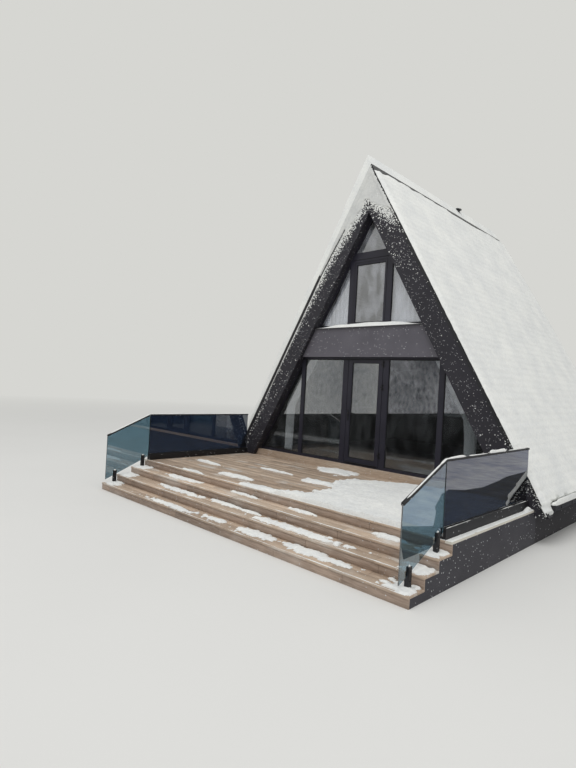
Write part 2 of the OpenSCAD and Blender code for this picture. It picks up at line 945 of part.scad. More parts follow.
module rear_window_frames() {
    color(window_grey) difference() {
        rear_openings(0, rear_window_y, rear_window_y + glazing_d);
        rear_openings(rear_frame_w, rear_window_y - 1, rear_window_y + glazing_d + 1);
    }
}

module rear_glass() {
    color(pane_blue) rear_openings(rear_frame_w, rear_window_y + glass_in, rear_window_y + glass_in + glass_t);
}

plinth_ends();
plinth_sides();
floor_slab();
floor_finish();
entrance_tiles();
upper_floor();
roof_panel_left();
roof_panel_right();
front_frame_left();
front_frame_right();
rear_frame_left();
rear_frame_right();
shingles_left();
shingles_right();
ridge_cap();
verge_trim_left();
verge_trim_right();
eave_boards();
gutters();
spandrel();
sill_flashing();
lower_mullions();
lower_rails();
lower_rakes();
lower_glass();
upper_mullions();
upper_rails();
upper_rakes();
upper_sash();
upper_glass();
door_stops();
frame_hinges();
door_leaf();
door_glass();
door_handle();
door_hinges();
terrace_base();
step_base();
treads();
risers();
terrace_paving();
copings();
rail_shoes();
rail_glass();
rail_tops();
rail_clamps();
vent_pipe();
vent_cowl();
snow_left();
snow_right();
curtain_left();
curtain_right();
rear_wall();
rear_window_frames();
rear_glass();
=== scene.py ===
"""The looks of a dark A-frame cabin under fresh snow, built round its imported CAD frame.

Every length is in metres in the row's frame: X to the right, Y away from the viewer and Z up, with the origin
on the ground under the middle of the front gable. Offsets under the shingled surface are square to the slope.
"""

import functools
import logging
import math
from collections.abc import Callable
from dataclasses import dataclass, replace
from enum import Enum

import bpy
import numpy as np
from mathutils import Matrix, Vector


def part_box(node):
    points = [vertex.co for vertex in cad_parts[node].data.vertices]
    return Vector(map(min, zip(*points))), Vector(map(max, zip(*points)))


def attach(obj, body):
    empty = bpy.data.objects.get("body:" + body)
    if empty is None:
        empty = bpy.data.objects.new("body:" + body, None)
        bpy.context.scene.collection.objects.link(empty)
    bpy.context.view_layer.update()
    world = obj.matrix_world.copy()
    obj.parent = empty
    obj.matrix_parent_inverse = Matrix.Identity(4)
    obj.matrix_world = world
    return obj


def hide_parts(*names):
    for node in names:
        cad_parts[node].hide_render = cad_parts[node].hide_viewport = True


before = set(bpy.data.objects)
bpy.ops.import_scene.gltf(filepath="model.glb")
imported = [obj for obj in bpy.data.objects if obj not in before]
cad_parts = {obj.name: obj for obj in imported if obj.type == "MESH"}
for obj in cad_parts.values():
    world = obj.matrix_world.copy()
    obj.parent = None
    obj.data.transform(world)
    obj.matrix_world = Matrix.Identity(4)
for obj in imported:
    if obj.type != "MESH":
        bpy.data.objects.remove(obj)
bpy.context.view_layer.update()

Array = np.ndarray
Colour = tuple[float, float, float]
Point = tuple[float, float, float]
Cover = Callable[[Array, Array], Array]
Socket = bpy.types.NodeSocket
LOG = logging.getLogger("cabin")
RIGHT, BACK, UP = (1, 0, 0), (0, 1, 0), (0, 0, 1)
# How far a new piece stays off the face that carries it
HAIR = 0.0003
# Below this angle in degrees, faces of snow are shaded as one soft surface
SNOW_ANGLE = 60.0


class Body(Enum):
    """The CAD bodies that a piece can ride on."""

    CABIN = "cabin"
    DOOR = "front_door"


class Side(Enum):
    """The two slopes of the roof, by the sign of their X."""

    LEFT = -1
    RIGHT = 1


# Numbers and noise


def linear(colour: Colour) -> tuple[float, float, float, float]:
    """Turns a display colour of 0 to 255 into linear light by the sRGB curve, a power of 2.4 on a short line.

    Args:
        colour: red, green and blue as they should look.

    Returns:
        The linear colour with an opaque alpha.
    """
    c = np.asarray(colour, float) / 255
    c = np.where(c <= 0.04045, c / 12.92, ((c + 0.055) / 1.055) ** 2.4)
    return (*c.tolist(), 1.0)


def ease(low: float, high: float, x: Array) -> Array:
    """A smooth step from 0 at low to 1 at high: 3t squared less 2t cubed."""
    t = np.clip((np.asarray(x, float) - low) / (high - low), 0, 1)
    return t * t * (3 - 2 * t)


def bump_at(x: Array, centre: float, reach: float) -> Array:
    """A bell of height 1 at centre: e to the minus squared distance over reach squared."""
    return np.exp(-(((x - centre) / reach) ** 2))


def stacked(x: Array, y: Array, z: Array) -> Array:
    """Points from their coordinates, each an array or one number for all."""
    return np.stack(np.broadcast_arrays(x, y, z), -1).astype(float)


def middles(grid: Array) -> Array:
    """The value in the middle of each cell of a grid that is even across the cell."""
    return (grid[1:, 1:] + grid[:-1, :-1]) / 2


def covered(wins: Array) -> Array:
    """The cells of a grid whose four corners sum to more than 0."""
    return (wins[1:, 1:] + wins[:-1, :-1] + wins[1:, :-1] + wins[:-1, 1:]) > 0


@dataclass(frozen=True)
class Drift:
    """Seeded value noise: random heights on a lattice, joined by smooth steps, in octaves of half the size.

    Attributes:
        seed: picks the lattice.
        size: the largest lump across.
        octaves: how many sizes are summed.
    """

    seed: int
    size: float
    octaves: int = 3

    def at(self, x: Array, y: Array) -> Array:
        """Samples the noise.

        Args:
            x: first coordinates.
            y: second coordinates.

        Returns:
            Values from 0 to 1, about 0.5 on average.
        """
        table = np.random.default_rng(self.seed).random((256, 256))
        total, weight = np.zeros(np.broadcast(x, y).shape), 0.0
        for octave in range(self.octaves):
            scale, share = 2.0**octave / self.size, 0.5**octave
            u, v = x * scale + 17.3 * octave + 60, y * scale + 41.7 * octave + 60
            i, j = np.floor(u).astype(int), np.floor(v).astype(int)
            fu, fv = ease(0, 1, u - i), ease(0, 1, v - j)
            a, b = table[i % 256, j % 256], table[(i + 1) % 256, j % 256]
            c, d = table[i % 256, (j + 1) % 256], table[(i + 1) % 256, (j + 1) % 256]
            total += share * ((a * (1 - fu) + b * fu) * (1 - fv) + (c * (1 - fu) + d * fu) * fv)
            weight += share
        return total / weight

    def along(self, x: Array) -> Array:
        """Samples the noise along one line."""
        return self.at(x, x * 0)


# Finishes


@dataclass
class Nodes:
    """A small builder of one node tree.

    Attributes:
        tree: the tree.
    """

    tree: bpy.types.NodeTree

    def feed(self, socket: Socket, value: object) -> None:
        """Links value into socket if it is a socket too, and sets it as a constant otherwise.

        Args:
            socket: the input.
            value: what goes into it.
        """
        if isinstance(value, bpy.types.NodeSocket):
            self.tree.links.new(value, socket)
        else:
            socket.default_value = value

    def add(self, kind: str, inputs: dict | None = None, **settings: object) -> bpy.types.Node:
        """Adds a node.

        Args:
            kind: Blender's type name of the node.
            inputs: socket names or numbers with what goes into them.
            settings: the node's own properties.

        Returns:
            The new node.
        """
        node = self.tree.nodes.new(kind)
        for key, value in settings.items():
            setattr(node, key, value)
        for key, value in (inputs or {}).items():
            self.feed(node.inputs[key], value)
        return node

    def math(self, kind: str, a: object, b: object = 0.0) -> Socket:
        """One arithmetic node of that kind."""
        return self.add("ShaderNodeMath", {0: a, 1: b}, operation=kind).outputs[0]


class Shader(Nodes):
    """The nodes of one material round its Principled shader."""

    def __init__(self, name: str) -> None:
        """Starts a material.

        Args:
            name: what it is called.
        """
        self.material = bpy.data.materials.new(name)
        self.material.use_nodes = True
        super().__init__(self.material.node_tree)
        self.surface = self.tree.nodes["Principled BSDF"]

    def coat(self, colour: Socket, rough: Socket, normal: Socket) -> None:
        """Joins colour, roughness and bump to the surface."""
        for name, value in (("Base Color", colour), ("Roughness", rough), ("Normal", normal)):
            self.feed(self.surface.inputs[name], value)

    def place(self, stretch: Point = (1, 1, 1)) -> Socket:
        """Object coordinates, multiplied by stretch on each axis."""
        spot = self.add("ShaderNodeTexCoord").outputs["Object"]
        return self.add("ShaderNodeMapping", {"Vector": spot, "Scale": stretch}).outputs["Vector"]

    def noise(self, size: float, stretch: Point = (1, 1, 1), detail: float = 3) -> Socket:
        """Fractal noise whose lumps are about size across, on stretched Object coordinates."""
        inputs = {"Vector": self.place(stretch), "Scale": 1 / size, "Detail": detail}
        return self.add("ShaderNodeTexNoise", inputs).outputs["Fac"]

    def span(self, value: Socket, low: float, high: float, start: float = 0, end: float = 1) -> Socket:
        """Maps value from low..high onto start..end, held at the ends."""
        inputs = {0: value, 1: low, 2: high, 3: start, 4: end}
        return self.add("ShaderNodeMapRange", inputs).outputs[0]

    def parts(self) -> list[Socket]:
        """X, Y and Z of the object coordinates."""
        return list(self.add("ShaderNodeSeparateXYZ", {0: self.place()}).outputs)

    def tone(self) -> Socket:
        """The mesh's own tone."""
        return self.add("ShaderNodeAttribute", attribute_name="tone").outputs["Fac"]

    def mix(self, share: object, a: object, b: object, kind: str = "MIX") -> Socket:
        """Blends colour a towards colour b by share."""
        node = self.add("ShaderNodeMix", {0: share, 6: a, 7: b}, data_type="RGBA", blend_type=kind)
        return node.outputs[2]

    def lit(self, colour: Socket, light: Socket) -> Socket:
        """A colour times a grey of that light."""
        grey = self.add("ShaderNodeCombineColor", {0: light, 1: light, 2: light}).outputs[0]
        return self.mix(1.0, colour, grey, "MULTIPLY")

    def relief(self, height: Socket, depth: float, under: Socket | None = None) -> Socket:
        """A bump from a 0..1 height.

        Args:
            height: the height.
            depth: what a height of 1 stands for, in metres.
            under: the bump that it lies on, if there is one.

        Returns:
            The bumped normal.
        """
        inputs = {"Height": height, "Distance": depth, "Strength": 1.0}
        if under is not None:
            inputs["Normal"] = under
        return self.add("ShaderNodeBump", inputs).outputs["Normal"]


@dataclass(frozen=True)
class Finish:
    """A matt surface: two colours in soft clouds, a fine grain, and snow specks that stick to it.

    Attributes:
        name: the material's name.
        base: the main colour, 0 to 255.
        second: the colour that the clouds and the grain lean to.
        cloud: the size of the colour clouds.
        grain: the size of the grain.
        depth: the height of the grain.
        rough: lowest and highest roughness.
        stretch: how the grain is pulled; a small number makes long marks on that axis.
        metallic: 0 for paint and stone, up to 1 for bare metal.
        specks: the share of cells that hold a stuck snow speck.
        speck: the size of a cell; the round speck in it is half as wide.
        dust: how white soft patches of swept snow are.
        speck_tone: the specks' colour.
        dust_tone: the swept snow's colour.
    """

    name: str
    base: Colour
    second: Colour
    cloud: float = 0.6
    grain: float = 0.006
    depth: float = 0.0004
    rough: tuple[float, float] = (0.5, 0.7)
    stretch: Point = (1, 1, 1)
    metallic: float = 0.0
    specks: float = 0.0
    speck: float = 0.045
    dust: float = 0.0
    speck_tone: Colour = (208, 210, 212)
    dust_tone: Colour = (216, 216, 212)

    def pattern(self, shader: Shader) -> tuple[Socket, Socket]:
        """The surface before specks: clouds and grain added in equal shares.

        Args:
            shader: the material.

        Returns:
            Its colour and its 0..1 height.
        """
        grain = shader.noise(self.grain, self.stretch)
        clouds = shader.noise(self.cloud, self.stretch, 4)
        share = shader.span(shader.math("ADD", grain, clouds), 0.7, 1.3)
        return shader.mix(share, linear(self.base), linear(self.second)), grain

    def dress(self, shader: Shader) -> None:
        """Joins pattern, specks, roughness and bump to the surface.

        A cell holds a speck where its own random number is under the share, and the speck is the spot within
        a quarter of a cell round the cell's seed. Dust lies where a wide noise is high.

        Args:
            shader: the material.
        """
        colour, height = self.pattern(shader)
        if self.specks:
            inputs = {"Vector": shader.place(), "Scale": 1 / self.speck}
            cells = shader.add("ShaderNodeTexVoronoi", inputs).outputs
            chance = shader.add("ShaderNodeTexWhiteNoise", {"Vector": cells["Color"]}).outputs["Value"]
            near = shader.span(cells["Distance"], 0.2, 0.3, 1, 0)
            share = shader.math("MULTIPLY", near, shader.math("LESS_THAN", chance, self.specks))
            colour = shader.mix(share, colour, linear(self.speck_tone))
        if self.dust:
            veil = shader.span(shader.noise(0.3, (0.4, 1, 1), 7), 0.56, 0.68, 0, self.dust)
            colour = shader.mix(veil, colour, linear(self.dust_tone))
        shader.coat(colour, shader.span(height, 0.3, 0.7, *self.rough), shader.relief(height, self.depth))
        shader.surface.inputs["Metallic"].default_value = self.metallic


@dataclass(frozen=True)
class Boards(Finish):
    """Timber boards: long grain, a tone for each, a dark joint between boards and painted shade below the
    upper floor.

    Attributes:
        width: from joint to joint.
        across: the axis on which the boards lie side by side, 0 to 2.
        joint: the joint's width.
        joint_tone: the light left in a joint.
        lower_storey_painted_light: the light painted on the boards below the upper floor as shade, 1 for
            none.
        storey: the heights between which that painted shade changes.
    """

    width: float = 0.14
    across: int = 0
    joint: float = 0.005
    joint_tone: float = 0.25
    lower_storey_painted_light: float = 1.0
    storey: tuple[float, float] = (3.0, 3.4)

    def pattern(self, shader: Shader) -> tuple[Socket, Socket]:
        """Board number = whole part of the place over the width; the joint is where the rest is near 0.

        Args:
            shader: the material.

        Returns:
            The boards' colour and 0..1 height.
        """
        colour, grain = super().pattern(shader)
        parts = shader.parts()
        board = shader.math("DIVIDE", parts[self.across], self.width)
        number = {"W": shader.math("FLOOR", board)}
        tone = shader.add("ShaderNodeTexWhiteNoise", number, noise_dimensions="1D")
        gap = self.joint / self.width
        open_joint = shader.span(shader.math("PINGPONG", board, 0.5), gap * 0.5, gap)
        light = shader.span(tone.outputs["Value"], 0, 1, 0.85, 1.05)
        # Painted shade: the boards below the upper floor are darkened by their height
        light = shader.math("MULTIPLY", light, shader.span(parts[2], *self.storey, self.lower_storey_painted_light, 1))
        light = shader.math("MULTIPLY", light, shader.math("MAXIMUM", open_joint, self.joint_tone))
        height = shader.math("MULTIPLY", shader.span(grain, 0, 1, 0.7, 1), open_joint)
        return shader.lit(colour, light), height


@dataclass(frozen=True)
class Toned(Finish):
    """A finish for laid units such as planks and shingle tabs: each takes its tone from the mesh's attribute.

    Attributes:
        low: the light of the darkest unit.
        high: the light of the palest unit.
    """

    low: float = 0.85
    high: float = 1.1

    def pattern(self, shader: Shader) -> tuple[Socket, Socket]:
        """The matt pattern times the unit's own light."""
        colour, grain = super().pattern(shader)
        return shader.lit(colour, shader.span(shader.tone(), 0, 1, self.low, self.high)), grain


@dataclass(frozen=True)
class Snow:
    """Settled snow: nearly white, soft hollows, a crumbly grain.

    Attributes:
        name: the material's name.
        base: the colour of its crests.
        shade: the colour of its hollows.
        lump: the relief of its lumps.
        crumb: the relief of its crumbs.
    """

    name: str = "settled_snow"
    base: Colour = (240, 241, 237)
    shade: Colour = (224, 226, 225)
    lump: float = 0.012
    crumb: float = 0.002

    def dress(self, shader: Shader) -> None:
        """Colour from drifts of 0.5 m, bump from lumps of 40 mm and crumbs of 7 mm.

        Args:
            shader: the material.
        """
        drift, lump, crumb = shader.noise(0.5), shader.noise(0.04), shader.noise(0.007, detail=2)
        share = shader.span(shader.math("ADD", drift, lump), 0.75, 1.25)
        colour = shader.mix(share, linear(self.shade), linear(self.base))
        lumps = shader.relief(lump, self.lump)
        shader.coat(colour, shader.span(crumb, 0.3, 0.7, 0.75, 0.95), shader.relief(crumb, self.crumb, lumps))
        shader.surface.inputs["Specular IOR Level"].default_value = 0.25


@dataclass(frozen=True)
class Pane:
    """Glass with a tint, a faint film of thaw and frost whose streaks also paint reflections, and a set
    gloss.

    Attributes:
        name: the material's name.
        tint: the colour of light that comes through.
        bend: the index that sets how much it reflects, 1.5 for plain glass and more for coated glazing.
        film: the roughness of the filmy spots.
        clear: the share of daylight that it lets straight through into the rooms.
        haze_and_painted_reflection: how much a film of thaw whitens it in upright streaks, which also paint
            reflections.
    """

    name: str
    tint: Colour
    bend: float = 1.5
    film: float = 0.06
    clear: float = 0.9
    haze_and_painted_reflection: float = 0.0

    def through(self, shader: Shader) -> Socket:
        """The tint in soft clouds 4 % apart."""
        share = shader.span(shader.noise(0.6), 0.3, 0.7)
        return shader.mix(share, linear(self.tint), linear(tuple(0.96 * c for c in self.tint)))

    def dress(self, shader: Shader) -> None:
        """Roughness rises from 0 in the clear parts to film in the spots; the waviness is under a millimetre.

        Rays of shadow and diffuse light pass straight through by the clear share, to light the rooms.

        Args:
            shader: the material.
        """
        spots, waves = shader.noise(0.25, detail=4), shader.noise(0.9, detail=1)
        rough = shader.span(spots, 0.45, 0.75, 0.0, self.film)
        shader.coat(self.through(shader), rough, shader.relief(waves, 0.0008))
        inputs = shader.surface.inputs
        inputs["Transmission Weight"].default_value = 1.0
        if self.haze_and_painted_reflection:
            # Upright streaks of whitening: partly a film of thaw, partly painted reflection
            streaks = shader.noise(0.16, (1, 1, 0.45), 4)
            shader.feed(inputs["Transmission Weight"], shader.span(streaks, 0.38, 0.68, 1, 1 - self.haze_and_painted_reflection))
        inputs["IOR"].default_value = self.bend
        path = shader.add("ShaderNodeLightPath").outputs
        daylight = shader.math("MAXIMUM", path["Is Shadow Ray"], path["Is Diffuse Ray"])
        shader.feed(inputs["Alpha"], shader.span(daylight, 0, 1, 1, 1 - self.clear))


@dataclass(frozen=True)
class RailPane(Pane):
    """Tinted safety glass whose level panes are darker than the sloping ones beside the steps.

    Attributes:
        level: the level panes' tint.
        joint: the Y where the sloping pane ends and the level one starts.
    """

    level: Colour = (34, 46, 66)
    joint: float = -2.845

    def through(self, shader: Shader) -> Socket:
        """The sloping tint in front of the joint and the level tint behind it."""
        behind = shader.math("GREATER_THAN", shader.parts()[1], self.joint)
        return shader.mix(behind, super().through(shader), linear(self.level))


@dataclass(frozen=True)
class Sheer:
    """Thin white curtain cloth, woven on the piece's own UV map.

    Attributes:
        name: the material's name.
        base: the thread's colour.
        thread: from thread to thread, in the UV map's metres.
        cover: how much of what is behind it the weave hides.
    """

    name: str = "sheer_weave"
    base: Colour = (246, 248, 248)
    thread: float = 0.0012
    cover: float = 0.9

    def dress(self, shader: Shader) -> None:
        """Warp and weft are two sine waves over U and V; their larger one is the height of the weave.

        Args:
            shader: the material.
        """
        spot = shader.add("ShaderNodeUVMap", uv_map="cloth").outputs["UV"]
        inputs = {"Vector": spot, "Scale": 1 / self.thread / 6}
        warp, weft = (
            shader.add("ShaderNodeTexWave", inputs, bands_direction=way).outputs["Fac"] for way in ("X", "Y")
        )
        weave = shader.math("MAXIMUM", warp, weft)
        soft = shader.add("ShaderNodeTexNoise", {"Vector": spot, "Scale": 14.0}).outputs["Fac"]
        dark = linear(tuple(0.9 * c for c in self.base))
        colour = shader.mix(shader.math("MULTIPLY", weave, soft), dark, linear(self.base))
        shader.coat(colour, shader.span(weave, 0, 1, 0.95, 0.8), shader.relief(weave, 0.0003))
        shader.surface.inputs["Sheen Weight"].default_value = 0.2
        shader.surface.inputs["Alpha"].default_value = self.cover


@functools.cache
def material(finish: Finish | Snow | Pane | Sheer) -> bpy.types.Material:
    """The node material of a finish, made once.

    Args:
        finish: the finish.

    Returns:
        Its material.
    """
    shader = Shader(finish.name)
    finish.dress(shader)
    return shader.material


FASCIA = Finish(
    "fascia_panels", (47, 45, 53), (37, 36, 43), grain=0.01, depth=0.0005, specks=0.19, speck=0.022
)
RENDER = Finish(
    "plinth_render", (70, 69, 75), (56, 55, 61), grain=0.008, depth=0.0018, rough=(0.7, 0.9),
    specks=0.15, speck=0.031,
)
# A darker copy of the plinth render for the plinth's ends and sides: painted shade on those faces
FOOTING_PAINTED_SHADE = replace(RENDER, name="footing_render_painted_shade", base=(54, 52, 57), second=(40, 39, 43), specks=0.08)
SPANDREL = Finish("spandrel_panel", (100, 98, 106), (88, 86, 94), cloud=0.4, specks=0.12, speck=0.027)
SHEET = Finish("folded_sheet", (36, 36, 40), (28, 28, 32), grain=0.02, rough=(0.3, 0.5))
PROFILE = Finish("window_profiles", (43, 42, 54), (34, 33, 44), grain=0.003, depth=0.0002, rough=(0.4, 0.55))
FITTING = Finish("satin_fittings", (42, 42, 45), (34, 34, 36), grain=0.003, rough=(0.3, 0.45), metallic=0.4)
RAIL_METAL = Finish(
    "rail_metal", (28, 28, 32), (21, 21, 25), grain=0.004, rough=(0.5, 0.65), specks=0.1, speck=0.03
)
RUBBER = Finish("black_seals", (24, 24, 26), (18, 18, 20), grain=0.003, rough=(0.6, 0.8))
CONCRETE = Finish(
    "cast_concrete", (150, 148, 143), (128, 126, 121), grain=0.012, depth=0.001, rough=(0.8, 0.95)
)
VENT = Finish("vent_sheet", (58, 58, 62), (44, 44, 48), grain=0.01, rough=(0.35, 0.5))
COPING = Finish("coping_strip", (226, 221, 208), (206, 201, 190), depth=0.0006, rough=(0.6, 0.8))
PLANK = Toned(
    "plank_porcelain", (208, 188, 167), (160, 140, 122), cloud=0.35, grain=0.014, depth=0.0006,
    rough=(0.5, 0.75), stretch=(0.08, 1, 1), specks=0.1, speck=0.03, dust=0.6,
)
# A darker copy of the plank porcelain for the upright risers: painted shade of upright faces, with less swept
# snow
RISER_PLANK_PAINTED_SHADE = replace(
    PLANK, name="riser_porcelain_painted_shade", base=(181, 161, 145), second=(137, 119, 106), specks=0.08, dust=0.2
)
GRANULES = Toned(
    "mineral_granules", (62, 61, 65), (44, 43, 47), cloud=0.2, grain=0.004, depth=0.001, rough=(0.8, 0.95),
    specks=0.2, speck=0.03,
)
# Both darken their boards below the upper floor, as painted shade of the lower rooms
OAK = Boards(
    "floor_boards", (104, 84, 66), (86, 69, 53), stretch=(1, 0.06, 1), rough=(0.4, 0.6), lower_storey_painted_light=0.25
)
LINING = Boards(
    "lining_boards", (222, 223, 221), (212, 212, 208), stretch=(1, 0.06, 1), across=2, width=0.12,
    joint_tone=0.75, lower_storey_painted_light=0.09,
)
STAINED = Toned("stained_boards", (66, 62, 68), (48, 45, 50), grain=0.01, stretch=(1, 1, 0.06), depth=0.0008)
SNOW = Snow()
ROOF_SNOW = Snow("roof_snow", lump=0.0025, crumb=0.0012)
# Greyer snow for the cap on the upright front: partly thin snow over dark panels, partly painted shade of
# that face
BLOWN_SNOW_PAINTED_SHADE = Snow("blown_snow_painted_shade", (217, 218, 215), (202, 204, 203), lump=0.004)
# The upright streaks of both glazings are partly thaw film, partly painted reflection
GLAZING = Pane("double_glazing", (214, 221, 226), bend=2.95, haze_and_painted_reflection=0.03)
UPPER_GLAZING = Pane("upper_glazing", (220, 224, 234), bend=2.4, haze_and_painted_reflection=0.2)
SHADED = Pane("shaded_glazing", (74, 78, 82), bend=2.0, clear=0.3)
RAIL_PANE = RailPane("tinted_pane", (108, 142, 158), bend=2.55, film=0.04, clear=0.6)
SHEER = Sheer()

NODE_FINISHES: dict[Finish | Pane, tuple[str, ...]] = {
    RENDER: ("terrace_base", "step_base"),
    FOOTING_PAINTED_SHADE: ("plinth_ends", "plinth_sides"),
    CONCRETE: ("floor_slab",),
    OAK: ("floor_finish", "upper_floor"),
    LINING: ("roof_panel_left", "roof_panel_right"),
    FASCIA: ("front_frame_left", "front_frame_right", "rear_frame_left", "rear_frame_right", "eave_boards"),
    SHEET: ("ridge_cap", "verge_trim_left", "verge_trim_right", "gutters", "sill_flashing"),
    SPANDREL: ("spandrel",),
    PROFILE: (
        "lower_mullions", "lower_rails", "lower_rakes", "upper_mullions", "upper_rails", "upper_rakes",
        "upper_sash", "door_stops", "door_leaf", "rear_window_frames",
    ),
    GLAZING: ("lower_glass", "door_glass"),
    UPPER_GLAZING: ("upper_glass",),
    SHADED: ("rear_glass",),
    FITTING: ("frame_hinges", "door_handle", "door_hinges"),
    RAIL_METAL: ("rail_shoes", "rail_tops", "rail_clamps"),
    PLANK: ("entrance_tiles",),
    COPING: ("copings",),
    RAIL_PANE: ("rail_glass",),
    VENT: ("vent_pipe", "vent_cowl"),
    STAINED: ("rear_wall",),
}


def dress_nodes() -> None:
    """Gives every CAD node that stays its own finish."""
    for finish, names in NODE_FINISHES.items():
        for name in names:
            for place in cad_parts[name].material_slots:
                place.material = material(finish)


# Shapes


@dataclass
class Shape:
    """A mesh in numpy arrays before Blender gets it.

    Attributes:
        points: one row of x, y, z for each vertex.
        faces: one row of vertex numbers for each face, anticlockwise from outside, with -1 in unused places.
        tone: a number for each vertex that the finish may read, or None.
        chart: a U and V for each vertex, or None.
    """

    points: Array
    faces: Array
    tone: Array | None = None
    chart: Array | None = None

    def turned(self) -> "Shape":
        """The same shape with each face's corners the other way round.

        Returns:
            The shape. A face of n corners lists them from n - 1 down to 0.
        """
        wide = self.faces.shape[1]
        sides = (self.faces >= 0).sum(1, keepdims=True)
        back = np.take_along_axis(self.faces, (sides - 1 - np.arange(wide)) % wide, 1)
        return replace(self, faces=np.where(np.arange(wide) < sides, back, -1))

    def mirrored(self) -> "Shape":
        """The same shape on the other side of X = 0, with its faces turned to point outwards again."""
        return replace(self.turned(), points=self.points * (-1, 1, 1))

    def build(
        self, name: str, slot: str, finish: Finish | Snow | Sheer, body: Body = Body.CABIN,
        stands_for: tuple[str, ...] = (), soft_angle: float = 0.0,
    ) -> bpy.types.Object:
        """Args:
            name: the piece's name.
            slot: the record's material slot; it is not used.
            finish: what it is dressed in.
            body: the CAD body that it rides on.
            stands_for: the CAD nodes that it replaces.
            soft_angle: faces that meet at less than this, in degrees, are shaded smooth.

        Returns:
            The new object.
        """
        used = self.faces >= 0
        sides = used.sum(1)
        mesh = bpy.data.meshes.new(name)
        mesh.vertices.add(len(self.points))
        mesh.vertices.foreach_set("co", np.ascontiguousarray(self.points, np.float32).ravel())
        mesh.loops.add(int(sides.sum()))
        mesh.loops.foreach_set("vertex_index", self.faces[used].astype(np.int32))
        mesh.polygons.add(len(sides))
        mesh.polygons.foreach_set("loop_start", (np.cumsum(sides) - sides).astype(np.int32))
        mesh.update(calc_edges=True)
        if self.tone is not None:
            tone = mesh.attributes.new("tone", "FLOAT", "POINT")
            tone.data.foreach_set("value", self.tone.astype(np.float32))
        if self.chart is not None:
            corner = self.chart[self.faces[used]].astype(np.float32)
            mesh.uv_layers.new(name="cloth").data.foreach_set("uv", corner.ravel())
        if soft_angle:
            mesh.polygons.foreach_set("use_smooth", np.ones(len(sides), bool))
            mesh.set_sharp_from_angle(angle=math.radians(soft_angle))
        mesh.materials.append(material(finish))
        piece = bpy.data.objects.new(name, mesh)
        bpy.context.scene.collection.objects.link(piece)
        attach(piece, body.value)
        if stands_for:
            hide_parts(*stands_for)
        LOG.info("%s: %d faces", name, len(sides))
        return piece

    def settle(
        self, name: str, finish: Snow = SNOW, stands_for: tuple[str, ...] = (), soft_angle: float = SNOW_ANGLE
    ) -> None:
        """Builds the shape as a piece of snow that rides on the cabin."""
        self.build(name, "settled_snow", finish, Body.CABIN, stands_for, soft_angle)


def joined(*shapes: Shape) -> Shape:
    """Puts shapes into one: each shape's vertex numbers move up by the number of points before it.

    Args:
        shapes: the shapes.

    Returns:
        One shape, with tones where every one of them has tones.
    """
    wide = max(s.faces.shape[1] for s in shapes)
    starts = np.cumsum([0] + [len(s.points) for s in shapes[:-1]])
    faces = [padded(np.where(s.faces >= 0, s.faces + k, -1), wide) for s, k in zip(shapes, starts)]
    toned = all(s.tone is not None for s in shapes)
    tone = np.concatenate([s.tone for s in shapes]) if toned else None
    return Shape(np.vstack([s.points for s in shapes]), np.vstack(faces), tone)


def both(shape: Shape) -> Shape:
    """The shape and its mirror image."""
    return joined(shape, shape.mirrored())


def padded(faces: Array, wide: int) -> Array:
    """Fills rows of vertex numbers up with -1 to that many places."""
    return np.pad(faces, ((0, 0), (0, wide - faces.shape[1])), constant_values=-1)


def quads_on(rows: int, columns: int) -> Array:
    """Vertex numbers of each cell of a grid of points: (i, j), (i + 1, j), (i + 1, j + 1), (i, j + 1)."""
    index = np.arange(rows * columns).reshape(rows, columns)
    return np.stack([index[:-1, :-1], index[1:, :-1], index[1:, 1:], index[:-1, 1:]], -1)


HEXAHEDRON = np.array([[0, 3, 2, 1], [4, 5, 6, 7], [0, 1, 5, 4], [1, 2, 6, 5], [2, 3, 7, 6], [3, 0, 4, 7]])


def hexahedra(corners: Array, seed: int = 1) -> Shape:
    """Six-faced blocks from their corners.

    Args:
        corners: n blocks of 8 corners each: the lower four anticlockwise from above, then the upper four.
        seed: picks each block's tone.

    Returns:
        The blocks as one shape, each with its own random tone.
    """
    count = len(corners)
    faces = (np.arange(count)[:, None, None] * 8 + HEXAHEDRON).reshape(-1, 4)
    tone = np.repeat(np.random.default_rng(seed).random(count), 8)
    return Shape(corners.reshape(-1, 3), faces, tone)


def blocks(low: Array, high: Array, seed: int = 1) -> Shape:
    """Upright blocks between two corners each.

    Args:
        low: n lowest corners.
        high: n highest corners.
        seed: picks each block's tone.

    Returns:
        The blocks as one shape.
    """
    low, high = np.broadcast_arrays(np.atleast_2d(low).astype(float), np.atleast_2d(high).astype(float))
    foot = rectangle(0, 1, 0, 1)
    at_high = np.vstack([np.insert(foot, 2, level, axis=1) for level in (0, 1)]) > 0
    return hexahedra(np.where(at_high[None], high[:, None], low[:, None]), seed)


def runs(start: float, end: float, length: float, shift: float = 0.0, joint: float = 0.003) -> Array:
    """Cuts a line into pieces of one length, with joints between them, and none shorter than 60 mm.

    Args:
        start: where the line starts.
        end: where it ends.
        length: of a whole piece, joint included.
        shift: how far the first joint is moved along.
        joint: the gap between two pieces.

    Returns:
        One row of start and end for each piece.
    """
    shortest = 0.06
    cuts = np.arange(start + shift % length, end, length)
    cuts = np.concatenate([[start], cuts[(cuts > start + shortest) & (cuts < end - shortest)], [end]])
    low, high = cuts[:-1] + joint / 2, cuts[1:] - joint / 2
    low[0], high[-1] = start, end
    return np.stack([low, high], 1)


